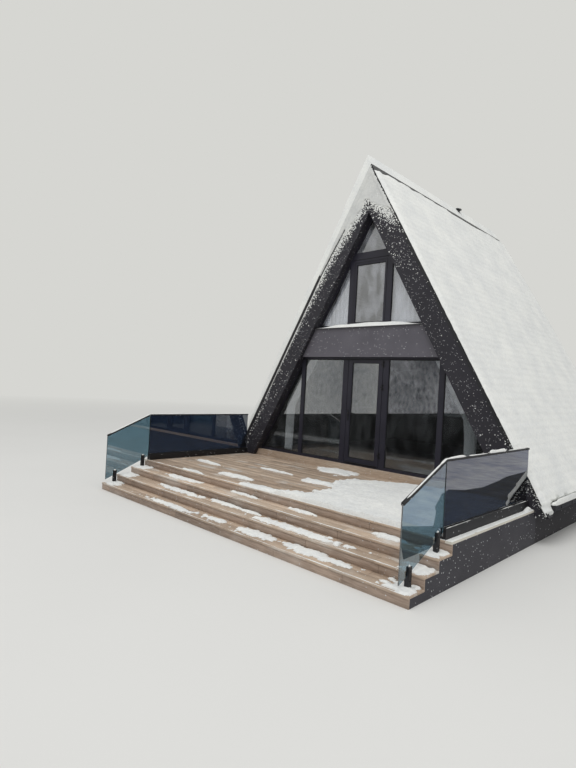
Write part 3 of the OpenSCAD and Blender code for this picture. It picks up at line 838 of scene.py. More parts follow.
def clipped(polygon: Array, normal: tuple[float, float], limit: float) -> Array:
    """The part of a convex polygon where its points' product with normal is at most limit.

    Args:
        polygon: its corners.
        normal: the direction square to the cut.
        limit: the product on the cut.

    Returns:
        The corners within the limit, and where a side a to b crosses it the point a + (b - a) ra / (ra - rb).
    """
    reach = polygon @ np.array(normal) - limit
    after, after_reach = np.roll(polygon, -1, 0), np.roll(reach, -1)
    crosses = (reach < 0) != (after_reach < 0)
    drop = np.where(crosses, reach - after_reach, 1)
    cuts = polygon + (after - polygon) * reach[:, None] / drop[:, None]
    return np.stack([polygon, cuts], 1).reshape(-1, 2)[np.stack([reach <= 0, crosses], 1).ravel()]


def rectangle(x0: float, x1: float, z0: float, z1: float) -> Array:
    """Four corners, anticlockwise from the front."""
    return np.array([[x0, z0], [x1, z0], [x1, z1], [x0, z1]])


def prism(polygon: Array, y0: float, y1: float) -> Shape:
    """A convex polygon carried back: its corners at y0, then at y1.

    Args:
        polygon: its corners in x and z, anticlockwise from the front.
        y0: where it starts.
        y1: where it ends.

    Returns:
        The closed shape.
    """
    n = len(polygon)
    points = np.vstack([np.insert(polygon, 1, y, axis=1) for y in (y0, y1)])
    k = np.arange(n)
    walls = np.stack([k, k + n, (k + 1) % n + n, (k + 1) % n], 1)
    caps = np.stack([k, (k + n)[::-1]])
    wide = max(n, 4)
    return Shape(points, np.vstack([padded(caps, wide), padded(walls, wide)]), np.full(2 * n, 0.5))


def inset(polygon: Array, width: float) -> Array:
    """Moves each side of a convex polygon inwards by width: each new corner is where two moved sides cross.

    Args:
        polygon: its corners, anticlockwise.
        width: how far the sides move.

    Returns:
        As many corners.
    """
    ahead = np.roll(polygon, -1, 0) - polygon
    inward = np.stack([-ahead[:, 1], ahead[:, 0]], 1)
    inward /= np.linalg.norm(inward, axis=1, keepdims=True)
    level = (inward * polygon).sum(1) + width
    before, before_level = np.roll(inward, 1, 0), np.roll(level, 1)
    cross = before[:, 0] * inward[:, 1] - before[:, 1] * inward[:, 0]
    x = (before_level * inward[:, 1] - level * before[:, 1]) / cross
    z = (before[:, 0] * level - inward[:, 0] * before_level) / cross
    return np.stack([x, z], 1)


def ring(polygon: Array, width: float, y0: float, y1: float) -> Shape:
    """A flat strip inside a polygon's edge: the edge and its inset, at y0 and at y1.

    Args:
        polygon: the corners in x and z, anticlockwise from the front.
        width: of the strip.
        y0: its front.
        y1: its back.

    Returns:
        The closed strip.
    """
    n, inner = len(polygon), inset(polygon, width)
    points = np.vstack([np.insert(p, 1, y, axis=1) for y in (y0, y1) for p in (polygon, inner)])
    k, j = np.arange(n), (np.arange(n) + 1) % n
    sides = [(k, j, j + n, k + n), (k + 2 * n, k + 3 * n, j + 3 * n, j + 2 * n)]
    sides += [(k, k + 2 * n, j + 2 * n, j), (k + n, j + n, j + 3 * n, k + 3 * n)]
    return Shape(points, np.vstack([np.stack(s, 1) for s in sides]), np.full(4 * n, 0.5))


def seals(pane: Array, front: float, back: float) -> Shape:
    """Seals 11 mm wide round a pane's outline, which stand 7 mm out of its front and its back."""
    ends = ((front - 0.007, front - HAIR), (back + HAIR, back + 0.007))
    return joined(*(ring(pane, 0.011, *pair) for pair in ends))


def sheet_between(top: Array, bottom: Array, keep: Array) -> Shape:
    """A closed layer over the kept cells of a grid: top, bottom, and a wall wherever a kept cell ends.

    Args:
        top: points of the upper face on a grid, shape (m, n, 3).
        bottom: the points under them.
        keep: which of the (m - 1, n - 1) cells are there.

    Returns:
        The layer, without cells that touch at a corner only, and with its faces outwards.
    """
    keep = keep.copy()
    for _ in range(3):
        a, b, c, d = keep[:-1, :-1], keep[1:, 1:], keep[1:, :-1], keep[:-1, 1:]
        c |= a & b & ~c & ~d
        a |= c & d & ~a & ~b
    m, n = top.shape[:2]
    quads = quads_on(m, n)
    upper = quads[keep]
    lower = upper[:, ::-1] + m * n
    ringed = np.pad(keep, 1)
    walls = []
    for k, (dx, dy) in enumerate([(0, -1), (1, 0), (0, 1), (-1, 0)]):
        open_side = keep & ~ringed[1 + dx : m + dx, 1 + dy : n + dy]
        a, b = quads[open_side][:, k], quads[open_side][:, (k + 1) % 4]
        walls.append(np.stack([a, a + m * n, b + m * n, b], 1))
    faces = np.vstack([upper, lower, *walls])
    points = np.vstack([top.reshape(-1, 3), bottom.reshape(-1, 3)])
    used, packed = np.unique(faces, return_inverse=True)
    start = points[upper[:, 0]]
    square = np.cross(points[upper[:, 1]] - start, points[upper[:, 3]] - start)
    outward = (square * (start - points[upper[:, 0] + m * n])).sum() > 0
    packed = packed.reshape(faces.shape)
    return Shape(points[used], packed if outward else packed[:, ::-1])


def thinned(height: Array, keep: Array, edge: float) -> Array:
    """A layer's depth: at least edge, and edge where one of the four cells round a grid point isn't kept."""
    open_at = covered(1 - np.pad(keep, 1))
    return np.where(open_at, edge, np.maximum(height, edge))


def ribbon(
    path: Array, width: Array, height: Array, across: Array | Point, up: Array | Point, steps: int = 8
) -> Shape:
    """A rounded bank of snow along a path: half an ellipse on a flat foot, narrowed to nothing at both ends.

    Args:
        path: the foot's middle line, n points.
        width: half the foot's width at each point.
        height: the bank's height at each point.
        across: the direction of the width.
        up: the direction of the height.
        steps: the sides of the half ellipse.

    Returns:
        The bank. A point at angle t is path + across * width * cos t + up * height * sin t.
    """
    n = len(path)
    taper = np.sqrt(np.clip(np.minimum(np.arange(n), np.arange(n)[::-1]) / 2.5, 0.04, 1))
    t = np.linspace(0, math.pi, steps + 1)
    w, h = (np.broadcast_to(a, n) * taper for a in (width, height))
    points = (
        path[:, None]
        + np.asarray(across) * (w[:, None] * np.cos(t))[..., None]
        + np.asarray(up) * (h[:, None] * np.sin(t))[..., None]
    )
    k = np.arange(steps + 1)
    i = np.arange(n - 1)[:, None] * (steps + 1)
    j = np.roll(k, -1)
    quads = np.stack([i + k, i + steps + 1 + k, i + steps + 1 + j, i + j], -1).reshape(-1, 4)
    caps = np.stack([k, (n - 1) * (steps + 1) + k[::-1]])
    shape = Shape(points.reshape(-1, 3), np.vstack([padded(quads, steps + 1), caps]))
    return shape if np.dot(np.cross(across, up), path[-1] - path[0]) < 0 else shape.turned()


def discs(
    centres: Array, radius: Array | float, depth: Array | float, axis: int, sides: int = 12,
    wobble: float = 0.0,
) -> Shape:
    """Short round studs: a circle at each centre carried by depth along an axis, with a domed end.

    Args:
        centres: the middle of each foot.
        radius: of each foot.
        depth: how far each stud stands out; the sign gives the way, which is the same for all.
        axis: 0 to 2, the axis that they stand along.
        sides: of the circle.
        wobble: how far a corner may lie off the circle, as a share of the radius.

    Returns:
        The studs as one shape. Ring k has radius r times (1, 1, 0.7) and stands (0, 0.6, 1) of depth out.
    """
    centres = np.atleast_2d(centres).astype(float)
    count = len(centres)
    turn = np.linspace(0, 2 * math.pi, sides, endpoint=False)
    uneven = 1 + wobble * np.random.default_rng(9).uniform(-1, 1, (count, 1, sides))
    radius, depth = (np.broadcast_to(a, count)[:, None, None] for a in (radius, depth))
    share, reach = np.array([1, 1, 0.7])[:, None], np.array([0, 0.6, 1.0])[:, None]
    flat = np.zeros((count, 3, sides, 3))
    flat[..., (axis + 1) % 3] = radius * uneven * share * np.cos(turn)
    flat[..., (axis + 2) % 3] = radius * uneven * share * np.sin(turn)
    flat[..., axis] = depth * reach
    points = (centres[:, None, None] + flat).reshape(-1, 3)
    k, j = np.arange(sides), np.roll(np.arange(sides), -1)
    quads = np.vstack([np.stack([k + r, j + r, j + r + sides, k + r + sides], 1) for r in (0, sides)])
    one = np.vstack([padded(quads, sides), k[None, ::-1], k[None] + 2 * sides])
    start = (np.arange(count) * 3 * sides)[:, None, None]
    faces = np.where(one >= 0, one + start, -1).reshape(-1, sides)
    shape = Shape(points, faces, np.full(len(points), 0.5))
    return shape if np.min(depth) > 0 else shape.turned()


# Roof


@dataclass(frozen=True)
class Gable:
    """The roof's cross section, worked out from the CAD's shingles.

    Attributes:
        apex: height of the ridge.
        pitch: slope in radians.
        length: from the front face to the rear face.
        eave: height of the shingles' lower edge.
    """

    apex: float
    pitch: float
    length: float
    eave: float

    @classmethod
    def from_frame(cls) -> "Gable":
        """Reads the sizes off the right side's shingle layer."""
        low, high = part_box("shingles_right")
        return cls(high.z, math.atan2(high.z - low.z, high.x), high.y, low.z)

    def half(self, off: float, z: Array) -> Array:
        """Distance from the middle at height z, off under the surface: ((apex - z) cos p - off) / sin p."""
        return ((self.apex - z) * math.cos(self.pitch) - off) / math.sin(self.pitch)

    def along(self, z: float) -> float:
        """Distance down the slope to height z."""
        return (self.apex - z) / math.sin(self.pitch)

    def on_slope(self, side: Side, s: Array, y: Array, n: Array) -> Array:
        """Points on a slope: x = side (s cos p + n sin p) and z = apex - s sin p + n cos p."""
        c, d = math.cos(self.pitch), math.sin(self.pitch)
        return stacked(side.value * (s * c + n * d), y, self.apex - s * d + n * c)

    def cut(self, polygon: Array, off: float) -> Array:
        """The part of a polygon under the rakes: |x| sin p + z cos p is at most apex cos p - off."""
        c, d = math.cos(self.pitch), math.sin(self.pitch)
        return clipped(clipped(polygon, (d, c), self.apex * c - off), (-d, c), self.apex * c - off)


@dataclass
class ShingleCourses:
    """Bitumen shingles laid in courses, each tab tilted over the next one.

    Attributes:
        gable: the roof.
        exposure: from course to course down the slope.
        tab: the width of a tab.
        lap: how far a course runs on under the one above.
        slit: the gap between tabs.
        bed: the depth of the whole layer.
        thick: one tab's thickness.
        felt: the thickness of the felt under them.
        sliver: a tab narrower than this is left out.
    """

    gable: Gable
    exposure: float = 0.15
    tab: float = 0.333
    lap: float = 0.05
    slit: float = 0.006
    bed: float = 0.015
    thick: float = 0.004
    felt: float = 0.001
    sliver: float = 0.02

    def side(self, side: Side) -> Shape:
        """All tabs of one slope: tab (k, j) starts k exposures down and j tabs back, j + 1/2 in odd rows.

        Args:
            side: which slope.

        Returns:
            The tabs and the felt under them.
        """
        end, length = self.gable.along(self.gable.eave), self.gable.length
        rows = np.arange(math.ceil(end / self.exposure))
        k, j = np.meshgrid(rows, np.arange(-1, math.ceil(length / self.tab) + 1), indexing="ij")
        shift = 0.5 * (k % 2)
        y0 = np.clip((j + shift) * self.tab + self.slit / 2, 0, length).ravel()
        y1 = np.clip((j + 1 + shift) * self.tab - self.slit / 2, 0, length).ravel()
        s0 = np.maximum(k.ravel() * self.exposure - self.lap, 0)
        s1 = np.minimum((k.ravel() + 1) * self.exposure, end)
        wide = y1 - y0 > self.sliver
        y0, y1, s0, s1 = y0[wide], y1[wide], s0[wide], s1[wide]
        low, rise = -self.bed + self.felt, self.bed - self.thick - 0.0015
        corner = functools.partial(self.gable.on_slope, side)
        ends = ((s0, y0, 0), (s1, y0, rise), (s1, y1, rise), (s0, y1, 0))
        tabs = [corner(s, y, low + lift + up) for up in (0, self.thick) for s, y, lift in ends]
        felt = [corner(s, y, n) for n in (-self.bed, low) for s, y in rectangle(0, end, 0, length)]
        shape = joined(hexahedra(np.stack(tabs, 1), 5), hexahedra(np.stack(felt)[None], 6))
        return shape if side is Side.RIGHT else shape.turned()

    def build(self) -> None:
        """One piece for each slope."""
        for side in Side:
            word = side.name.lower()
            node, name = f"shingles_{word}", f"shingle_tabs_{word}"
            self.side(side).build(name, "shingles", GRANULES, stands_for=(node,))


@dataclass
class RoofSnow:
    """The snow on both slopes: thin on the right, deep on the left, with a crest over the ridge.

    Attributes:
        gable: the roof.
        trim: the thickness of the sheet trims under it.
        trim_width: how far the verge trims reach back over the shingles.
        cap: how far the ridge cap reaches down the slope.
        leg: how far back the front legs reach, and forward the rear ones.
        tip_gap: how far under the surface the snow lies on the legs' tips.
        overhang: how far it stands over the verges.
        cell: the grid's cell.
        course: the period of the shingle courses that still show through.
        eave: the height where it ends above the gutters.
        vent: how far down and back the vent pipe comes through.
        vent_hole: the radius left free round it.
        soft_angle: faces that meet at less than this are shaded smooth.
    """

    gable: Gable
    trim: float = 0.0085
    trim_width: float = 0.1
    cap: float = 0.175
    leg: float = 0.27
    tip_gap: float = 0.014
    overhang: float = 0.015
    cell: float = 0.05
    course: float = 0.15
    eave: float = 0.655
    vent: tuple[float, float] = (0.33, 4.28)
    vent_hole: float = 0.1
    soft_angle: float = 50.0

    def grid(self, end: float, fine: float) -> tuple[Array, Array]:
        """Distances down the slope and back, as two grids.

        Args:
            end: how far down the slope they go.
            fine: the step down the slope.

        Returns:
            Both grids.
        """
        rear, count = self.gable.length + self.overhang, round(self.gable.length / self.cell) + 1
        down, back = np.linspace(0, end, round(end / fine) + 1), np.linspace(-self.overhang, rear, count)
        return np.meshgrid(down, back, indexing="ij")

    def foot(self, s: Array, y: Array) -> Array:
        """How far the underside is out of the slope: on the trims, the shingles and the legs' tips."""
        on_trim = (y < self.trim_width) | (y > self.gable.length - self.trim_width) | (s < self.cap)
        return np.where(
            s > self.gable.along(self.gable.eave), -self.tip_gap, np.where(on_trim, self.trim, HAIR)
        )

    def kept(self, s: Array, y: Array, tip: float) -> Array:
        """The cells that hold snow: down to the eave, and further on the two legs' tips, with a ragged end.

        Args:
            s: the grid's distances down the slope.
            y: its distances back.
            tip: how far down it reaches on the legs.

        Returns:
            True for each cell that holds snow.
        """
        s, y = middles(s), middles(y)
        ragged = 0.07 * (Drift(31, 0.3).at(s, y) - 0.5) + 0.06 * (Drift(32, 0.09).at(s, y) - 0.5)
        on_leg = (y < self.leg) | (y > self.gable.length - self.leg)
        return s < np.where(on_leg, tip, self.gable.along(self.eave)) + ragged

    def bare(self, y: Array) -> Array:
        """How far down the slope the ridge cap shows, which is most at the front and beside the vent."""
        front, vent, rear = 1 - ease(0.15, 0.5, y), bump_at(y, 4.1, 0.7), ease(4.9, 5.8, y)
        return 0.115 + 0.085 * front + 0.05 * vent - 0.03 * rear + 0.07 * (Drift(8, 0.3).along(y) - 0.5)

    def edges(self, y: Array, reach: float) -> Array:
        """A quarter circle that rounds the layer off towards both verges."""
        d = np.clip(np.minimum(y + self.overhang, self.gable.length + self.overhang - y) / reach, 0, 1)
        return np.sqrt(np.clip(1 - (1 - d) ** 2, 0.03, 1))

    def right(self) -> Shape:
        """The thin layer of the right slope.

        Returns:
            The layer. Depth = 50 mm with soft drifts and a 6 mm saw-tooth of the courses, less towards the
            bare strip beside the ridge, and lumpier on the front leg's foot.
        """
        s, y = self.grid(self.gable.along(0.48), 0.03)
        depth = 0.050 + 0.03 * (Drift(3, 1.1).at(s, y) - 0.5) + 0.012 * (Drift(4, 0.12).at(s, y) - 0.5)
        depth += 0.006 * ((s / self.course) % 1)
        keep = self.kept(s, y, self.gable.along(0.53)) & (middles(s) > self.bare(middles(y)))
        depth = thinned(depth * (self.edges(y, 0.05) * ease(-0.02, 0.06, s - self.bare(y))), keep, 0.004)
        depth *= 1 + ease(5.5, 7.4, s) * (1 - ease(0.05, 0.3, y)) * (1.5 * Drift(34, 0.14).at(s, y) - 0.35)
        foot = self.foot(s, y)
        ragged = y - 0.03 * (y < 0) * Drift(33, 0.09).at(s, y) * (1 + 0.6 * ease(5.5, 7, s))
        top, bottom = (self.gable.on_slope(Side.RIGHT, s, ragged, out) for out in (foot + depth, foot))
        return sheet_between(top, bottom, keep)

    def left(self) -> Shape:
        """The deep layer of the left slope.

        Returns:
            The layer. Its depth follows the photograph's outline by height, and its top is drawn back by
            depth tan 30 near the ridge so that the crest's right face carries on the right slope's plane.
        """
        s, y = self.grid(self.gable.along(0.52), self.cell)
        z = self.gable.apex - s * math.sin(self.gable.pitch)
        heights = [0.5, 0.75, 2.25, 3.3, 4.3, 5.2, 6.6, 7.2]
        depth = np.interp(z, heights, [0.08, 0.13, 0.19, 0.23, 0.22, 0.24, 0.29, 0.28])
        depth *= 0.9 + 0.2 * Drift(11, 1.6).at(s, y) + 0.05 * (Drift(12, 0.2).at(s, y) - 0.5)
        keep = self.kept(s, y, self.gable.along(0.54))
        round_vent = (middles(s) - self.vent[0]) ** 2 + (middles(y) - self.vent[1]) ** 2 < self.vent_hole**2
        depth = thinned(depth * self.edges(y, 0.12), np.pad(keep, ((1, 0), (0, 0)), mode="edge")[1:], 0.02)
        depth[0] = depth[1]
        draw = depth * math.tan(math.pi / 2 - self.gable.pitch) * (1 - ease(0, 2.5, s))
        foot = self.foot(s, y)
        top = self.gable.on_slope(Side.LEFT, s - draw, y, foot + depth)
        return sheet_between(top, self.gable.on_slope(Side.LEFT, s, y, foot), keep & ~round_vent)

    def build(self) -> None:
        """One piece for each slope."""
        self.right().settle("roof_snow_right", ROOF_SNOW, ("snow_right",), self.soft_angle)
        self.left().settle("roof_snow_left", ROOF_SNOW, ("snow_left",), self.soft_angle)


@dataclass
class GableSnow:
    """Snow blown against the gables: a solid cap at the apex, flecks down the legs, a line on the left verge.

    Attributes:
        gable: the roof.
        band: the legs' width, square to the slope.
        trim_drop: how far the verge trim covers the face.
        trim: how far the trim stands out of the face.
        cell: the cap's grid.
        fleck: the smallest and the largest radius of a fleck.
        crowd: tries for a fleck on a square metre.
        verge: how far down the slope the line on the left verge starts and ends.
    """

    gable: Gable
    band: float = 0.5
    trim_drop: float = 0.062
    trim: float = 0.0085
    cell: float = 0.012
    fleck: tuple[float, float] = (0.0050, 0.0165)
    crowd: float = 6200.0
    verge: tuple[float, float] = (2.0, 5.9)

    def solid(self, side: Side, s: Array) -> Array:
        """How far in from the surface the solid cap reaches.

        Args:
            side: which leg.
            s: how far down the slope.

        Returns:
            The reach: over the whole band at the apex, then in steps down to nothing.
        """
        if side is Side.RIGHT:
            return np.interp(s, [0, 0.6, 0.7, 0.85, 1.0, 1.15, 1.25], [0.52, 0.52, 0.42, 0.3, 0.19, 0.08, 0])
        down = [0, 0.62, 0.68, 0.9, 1.06, 1.24, 1.5, 1.8, 2.3]
        return np.interp(s, down, [0.52, 0.52, 0.27, 0.27, 0.24, 0.19, 0.16, 0.11, 0])

    def droop(self, s: Array) -> tuple[Array, Array]:
        """Offsets on the left leg where the roof snow's lip ends and where the blown snow starts again."""
        lip = np.interp(s, [0, 1.3, 1.5, 1.9, 2.2, 2.56], [0.1, 0.1, 0.09, 0.06, 0.042, 0.032])
        return lip, np.interp(s, [0, 1.32, 1.42, 1.9, 2.4], [-0.02, -0.02, 0.118, 0.092, 0.075])

    def cap(self) -> Shape:
        """The solid snow round the apex, as one sheet over both legs on a grid of x and height.

        Returns:
            The sheet. It lies where its reach, less a ragged share, is more than the distance under the
            surface. On the left it also hangs as a lip from the verge, and a dark line parts the two further
            down; on the right it leaves a strip of trim free.
        """
        x, z = np.arange(-1.3, 1.0, self.cell), np.arange(4.9, self.gable.apex - 0.02, self.cell)
        x, z = np.meshgrid(x, z, indexing="ij")
        c, d = math.cos(self.gable.pitch), math.sin(self.gable.pitch)
        off = (self.gable.apex - z) * c - np.abs(x) * d
        s = np.abs(x) * c + (self.gable.apex - z) * d
        left = x < 0
        ragged = 0.10 * (Drift(45, 0.13).at(x, z) - 0.5)
        inner = np.where(left, self.solid(Side.LEFT, s), self.solid(Side.RIGHT, s)) + ragged - off
        lip, start = self.droop(s)
        wins = np.minimum(inner, off - np.where(left, start, 0.034))
        lip += 0.012 * (Drift(48, 0.06).at(x, z) - 0.5)
        wins = np.where(left, np.maximum(wins, np.minimum(lip - off, off + 0.02)), wins)
        keep = covered(wins)
        depth = thinned(0.007 + 0.012 * Drift(46, 0.2).at(x, z), keep, 0.003)
        face = 0.0004 + (self.trim - 0.0002) * (1 - ease(self.trim_drop + 0.01, self.trim_drop + 0.05, off))
        return sheet_between(stacked(x, -(face + depth), z), stacked(x, -face, z), keep)

    def left_cover(self, s: Array, off: Array) -> Array:
        """Dense beside the cap and the verge line, thinner inwards and down to 4 m, and more at the foot.

        Args:
            s: how far down the slope.
            off: how far under the surface.

        Returns:
            The share covered. It falls from the edge over a reach, and both follow the slope.
        """
        edge = np.maximum(self.solid(Side.LEFT, s), self.trim_drop + 0.006)
        down = [0.5, 1.2, 1.7, 2.4, 3.0, 3.6, 4.3, 5.2, 5.8, 6.4, 7.2]
        strength = np.interp(s, down, [0.85, 0.9, 0.85, 0.8, 0.7, 0.5, 0.22, 0.12, 0.3, 0.35, 0.2])
        down = [0.5, 1.0, 1.7, 2.2, 3.0, 3.6, 4.3, 7.2]
        reach = np.interp(s, down, [0.20, 0.24, 0.26, 0.22, 0.19, 0.16, 0.12, 0.16])
        near = strength * (1 - ease(0, 1, (off - edge) / reach))
        return (np.where(off > edge - 0.01, near, 0.04) + 0.012) * (off > self.droop(s)[1])

    def right_cover(self, s: Array, off: Array) -> Array:
        """Dense between the cap and a line that meets the verge at 1.8 m, sparse below, dense at the foot.

        Args:
            s: how far down the slope.
            off: how far under the surface.

        Returns:
            The share covered.
        """
        line = [0.5, 0.46, 0.36, 0.28, 0.17, 0.1, 0.03, -0.2]
        edge = np.interp(s, [0, 0.8, 1.0, 1.19, 1.39, 1.53, 1.8, 2.2], line)
        near = 0.78 * (1 - ease(-0.13, 0.1, off - edge))
        tail = 0.05 * (1 - ease(1.8, 3.4, s))
        foot = 0.6 * ease(6.0, 6.7, s) * (1 - ease(0.03, 0.12, off)) + 0.02 * ease(5, 6.5, s)
        return np.where(off > 0.03, near + tail, 0.0) + foot + 0.012

    def rear_cover(self, s: Array, off: Array) -> Array:
        """A faint dusting that thins out down the rear legs."""
        return 0.4 * (1 - ease(0.3, 1.6, s)) * (1 - 0.6 * off / self.band) + 0.02

    def flecks(
        self, side: Side, y: float, way: float, cover: Cover, seed: int, fine: float = 0.0
    ) -> Shape:
        """Low round crumbs on one leg's face.

        Args:
            side: which leg.
            y: where its face is.
            way: -1 if it faces the front and 1 if it faces the back.
            cover: gives the share covered from arrays of distance down the slope and of offset.
            seed: picks the crumbs.
            fine: how much smaller the crumbs are below 2.5 m.

        Returns:
            The crumbs. A try is kept with the chance -ln(1 - cover) / 2, so that overlaps add up to it.
        """
        rng = np.random.default_rng(seed)
        end = self.gable.along(0.5)
        tries = round(end * self.band * self.crowd)
        s, off = rng.uniform(0.02, end, tries), rng.uniform(0.012, self.band - 0.012, tries)
        radius = self.fleck[0] + (self.fleck[1] - self.fleck[0]) * rng.random(tries) ** 2
        radius *= 1 - fine * ease(1.5, 2.5, s)
        chance = -np.log(1 - np.clip(cover(s, off), 0, 0.93)) / 2
        on_leg = s * math.cos(self.gable.pitch) > off * math.sin(self.gable.pitch)
        off_edge = np.abs(off - self.trim_drop) > radius + 0.001
        keep = (rng.random(tries) < chance) & on_leg & off_edge
        s, off, radius = s[keep], off[keep], radius[keep]
        face = np.where(off < self.trim_drop, self.trim, 0.0002)
        centres = self.gable.on_slope(side, s, y + way * face, -off)
        return discs(centres, radius, way * 0.6 * radius, 1, 6, 0.25)

    def verge_line(self) -> Shape:
        """The thin bank caught inside the left verge trim, from under the cap to the last metre.

        Returns:
            The bank, 10 mm wide with lumps, and narrower down the slope.
        """
        s = np.linspace(*self.verge, 150)
        path = self.gable.on_slope(Side.LEFT, s, -HAIR, -self.droop(s)[1])
        lumps = np.clip(1.9 * Drift(61, 0.5).along(s), 0.55, 1.3)
        width = 0.0105 * lumps * (1 - 0.55 * ease(4.2, 5.9, s)) * ease(1.9, 2.5, s)
        down = self.gable.on_slope(Side.LEFT, 0.0, 0.0, 1.0) - self.gable.on_slope(Side.LEFT, 0.0, 0.0, 0.0)
        return ribbon(path, width, width * 0.9, down, (0.0, -1.0, 0.0))

    def build(self) -> None:
        """The front's cap, flecks and verge line, and the rear's dusting."""
        far = self.gable.length
        self.cap().settle("apex_snow", BLOWN_SNOW_PAINTED_SHADE)
        left = self.flecks(Side.LEFT, 0, -1, self.left_cover, 41, 0.15)
        joined(left, self.flecks(Side.RIGHT, 0, -1, self.right_cover, 47, 0.35)).settle("gable_snow_front")
        left = self.flecks(Side.LEFT, far, 1, self.rear_cover, 53)
        joined(left, self.flecks(Side.RIGHT, far, 1, self.rear_cover, 59)).settle("gable_snow_rear")
        self.verge_line().settle("verge_snow_line")


# Glazing and door


@dataclass
class Glazing:
    """The seals of every fixed pane, the transom's joint and the weather strips of the profiles.

    Attributes:
        gable: the roof.
        rake: the raking frames' inner face, as an offset under the surface.
        storey: the height at which the outer posts meet the rakes.
        post_rake: the offset at which they meet there.
        profile: half an outer post, and the sash's own width.
        bay: from the middle to the first pane beside the door.
        transom: the height of the transom over the sash.
        strip: how far a joint line stands out of the profiles.
    """

    gable: Gable
    rake: float = 0.5353
    storey: float = 3.0
    post_rake: float = 0.535
    profile: float = 0.055
    bay: float = 0.593
    transom: float = 0.205
    strip: float = 0.003

    def panes(self) -> list[Array]:
        """The outlines of the front's fixed panes, from the CAD's own boxes.

        Returns:
            Three panes of the right side, then two in the middle: the sash's and the one over the transom.
        """
        glass, posts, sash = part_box("lower_glass"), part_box("upper_mullions"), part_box("upper_sash")
        upper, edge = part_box("upper_glass"), self.profile
        low, high, transom = glass[0].z, glass[1].z, posts[1].z
        outer_post = self.gable.half(self.post_rake, self.storey) + 0.02
        return [
            rectangle(self.bay, outer_post - edge, low, high),
            self.gable.cut(rectangle(outer_post + edge, 3.5, low, high), self.rake),
            self.gable.cut(rectangle(posts[1].x, 2.0, upper[0].z, transom), self.rake),
            rectangle(sash[0].x + edge, sash[1].x - edge, sash[0].z + edge, sash[1].z - edge),
            self.gable.cut(rectangle(-1.0, 1.0, transom + self.transom, upper[1].z + 0.1), self.rake),
        ]

    def build(self) -> None:
        """Seals round the panes, a line on the transom, a drip over the posts, a strip round the sash."""
        front, back = (corner.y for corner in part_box("lower_glass"))
        rims = [seals(inset(pane, HAIR), front, back) for pane in self.panes()]
        joined(*map(both, rims[:3]), *rims[3:]).build("pane_seals", "window_frame", RUBBER)
        face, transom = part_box("upper_rails")[0].y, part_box("upper_mullions")[1].z
        half = self.gable.half(self.rake, transom + 0.06) - 0.004
        joint = blocks((-half, face - self.strip, transom + 0.052), (half, face - HAIR, transom + 0.062))
        low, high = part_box("upper_sash")
        strip = ring(rectangle(low.x, high.x, low.z, high.z), 0.008, face - self.strip, face - HAIR)
        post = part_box("lower_mullions")[1]
        drip = blocks((-post.x, face - 0.012, post.z - 0.006), (post.x, face - HAIR, post.z + 0.004))
        joined(joint, drip, strip).build("frame_joints", "window_frame", RUBBER)


@dataclass
class DoorFittings:
    """What rides on the door leaf: seals round its pane, a lock below the lever and a drip along its foot.

    Attributes:
        stile: the leaf's stile width.
        bottom: its bottom rail.
        top: its top rail.
        hinge: from the leaf's middle to the hinges' pins.
    """

    stile: float = 0.105
    bottom: float = 0.12
    top: float = 0.06
    hinge: float = 0.45

    def build(self) -> None:
        """Seals, lock and the drip on the leaf's outside; caps on the hinges."""
        low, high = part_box("door_leaf")
        front, back = (corner.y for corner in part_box("door_glass"))
        pane = rectangle(low.x + self.stile, high.x - self.stile, low.z + self.bottom, high.z - self.top)
        rim = seals(inset(pane, HAIR), front, back)
        rim.build("door_pane_seals", "window_frame", RUBBER, Body.DOOR)
        keyhole = (low.x + self.stile / 2, low.y - 0.006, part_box("door_handle")[0].z + 0.06)
        start, end = (low.x + 0.02, low.y - 0.022, low.z + 0.018), (high.x - 0.05, low.y - HAIR, low.z + 0.03)
        fittings = joined(discs([keyhole], 0.016, -0.008, 1), blocks(start, end))
        fittings.build("door_lock_and_drip", "hardware", FITTING, Body.DOOR)
        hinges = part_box("frame_hinges")
        pin = ((low.x + high.x) / 2 + self.hinge, hinges[0].y + 0.012, hinges[1].z)
        discs([pin], 0.011, 0.006, 2).build("hinge_caps", "hardware", FITTING)


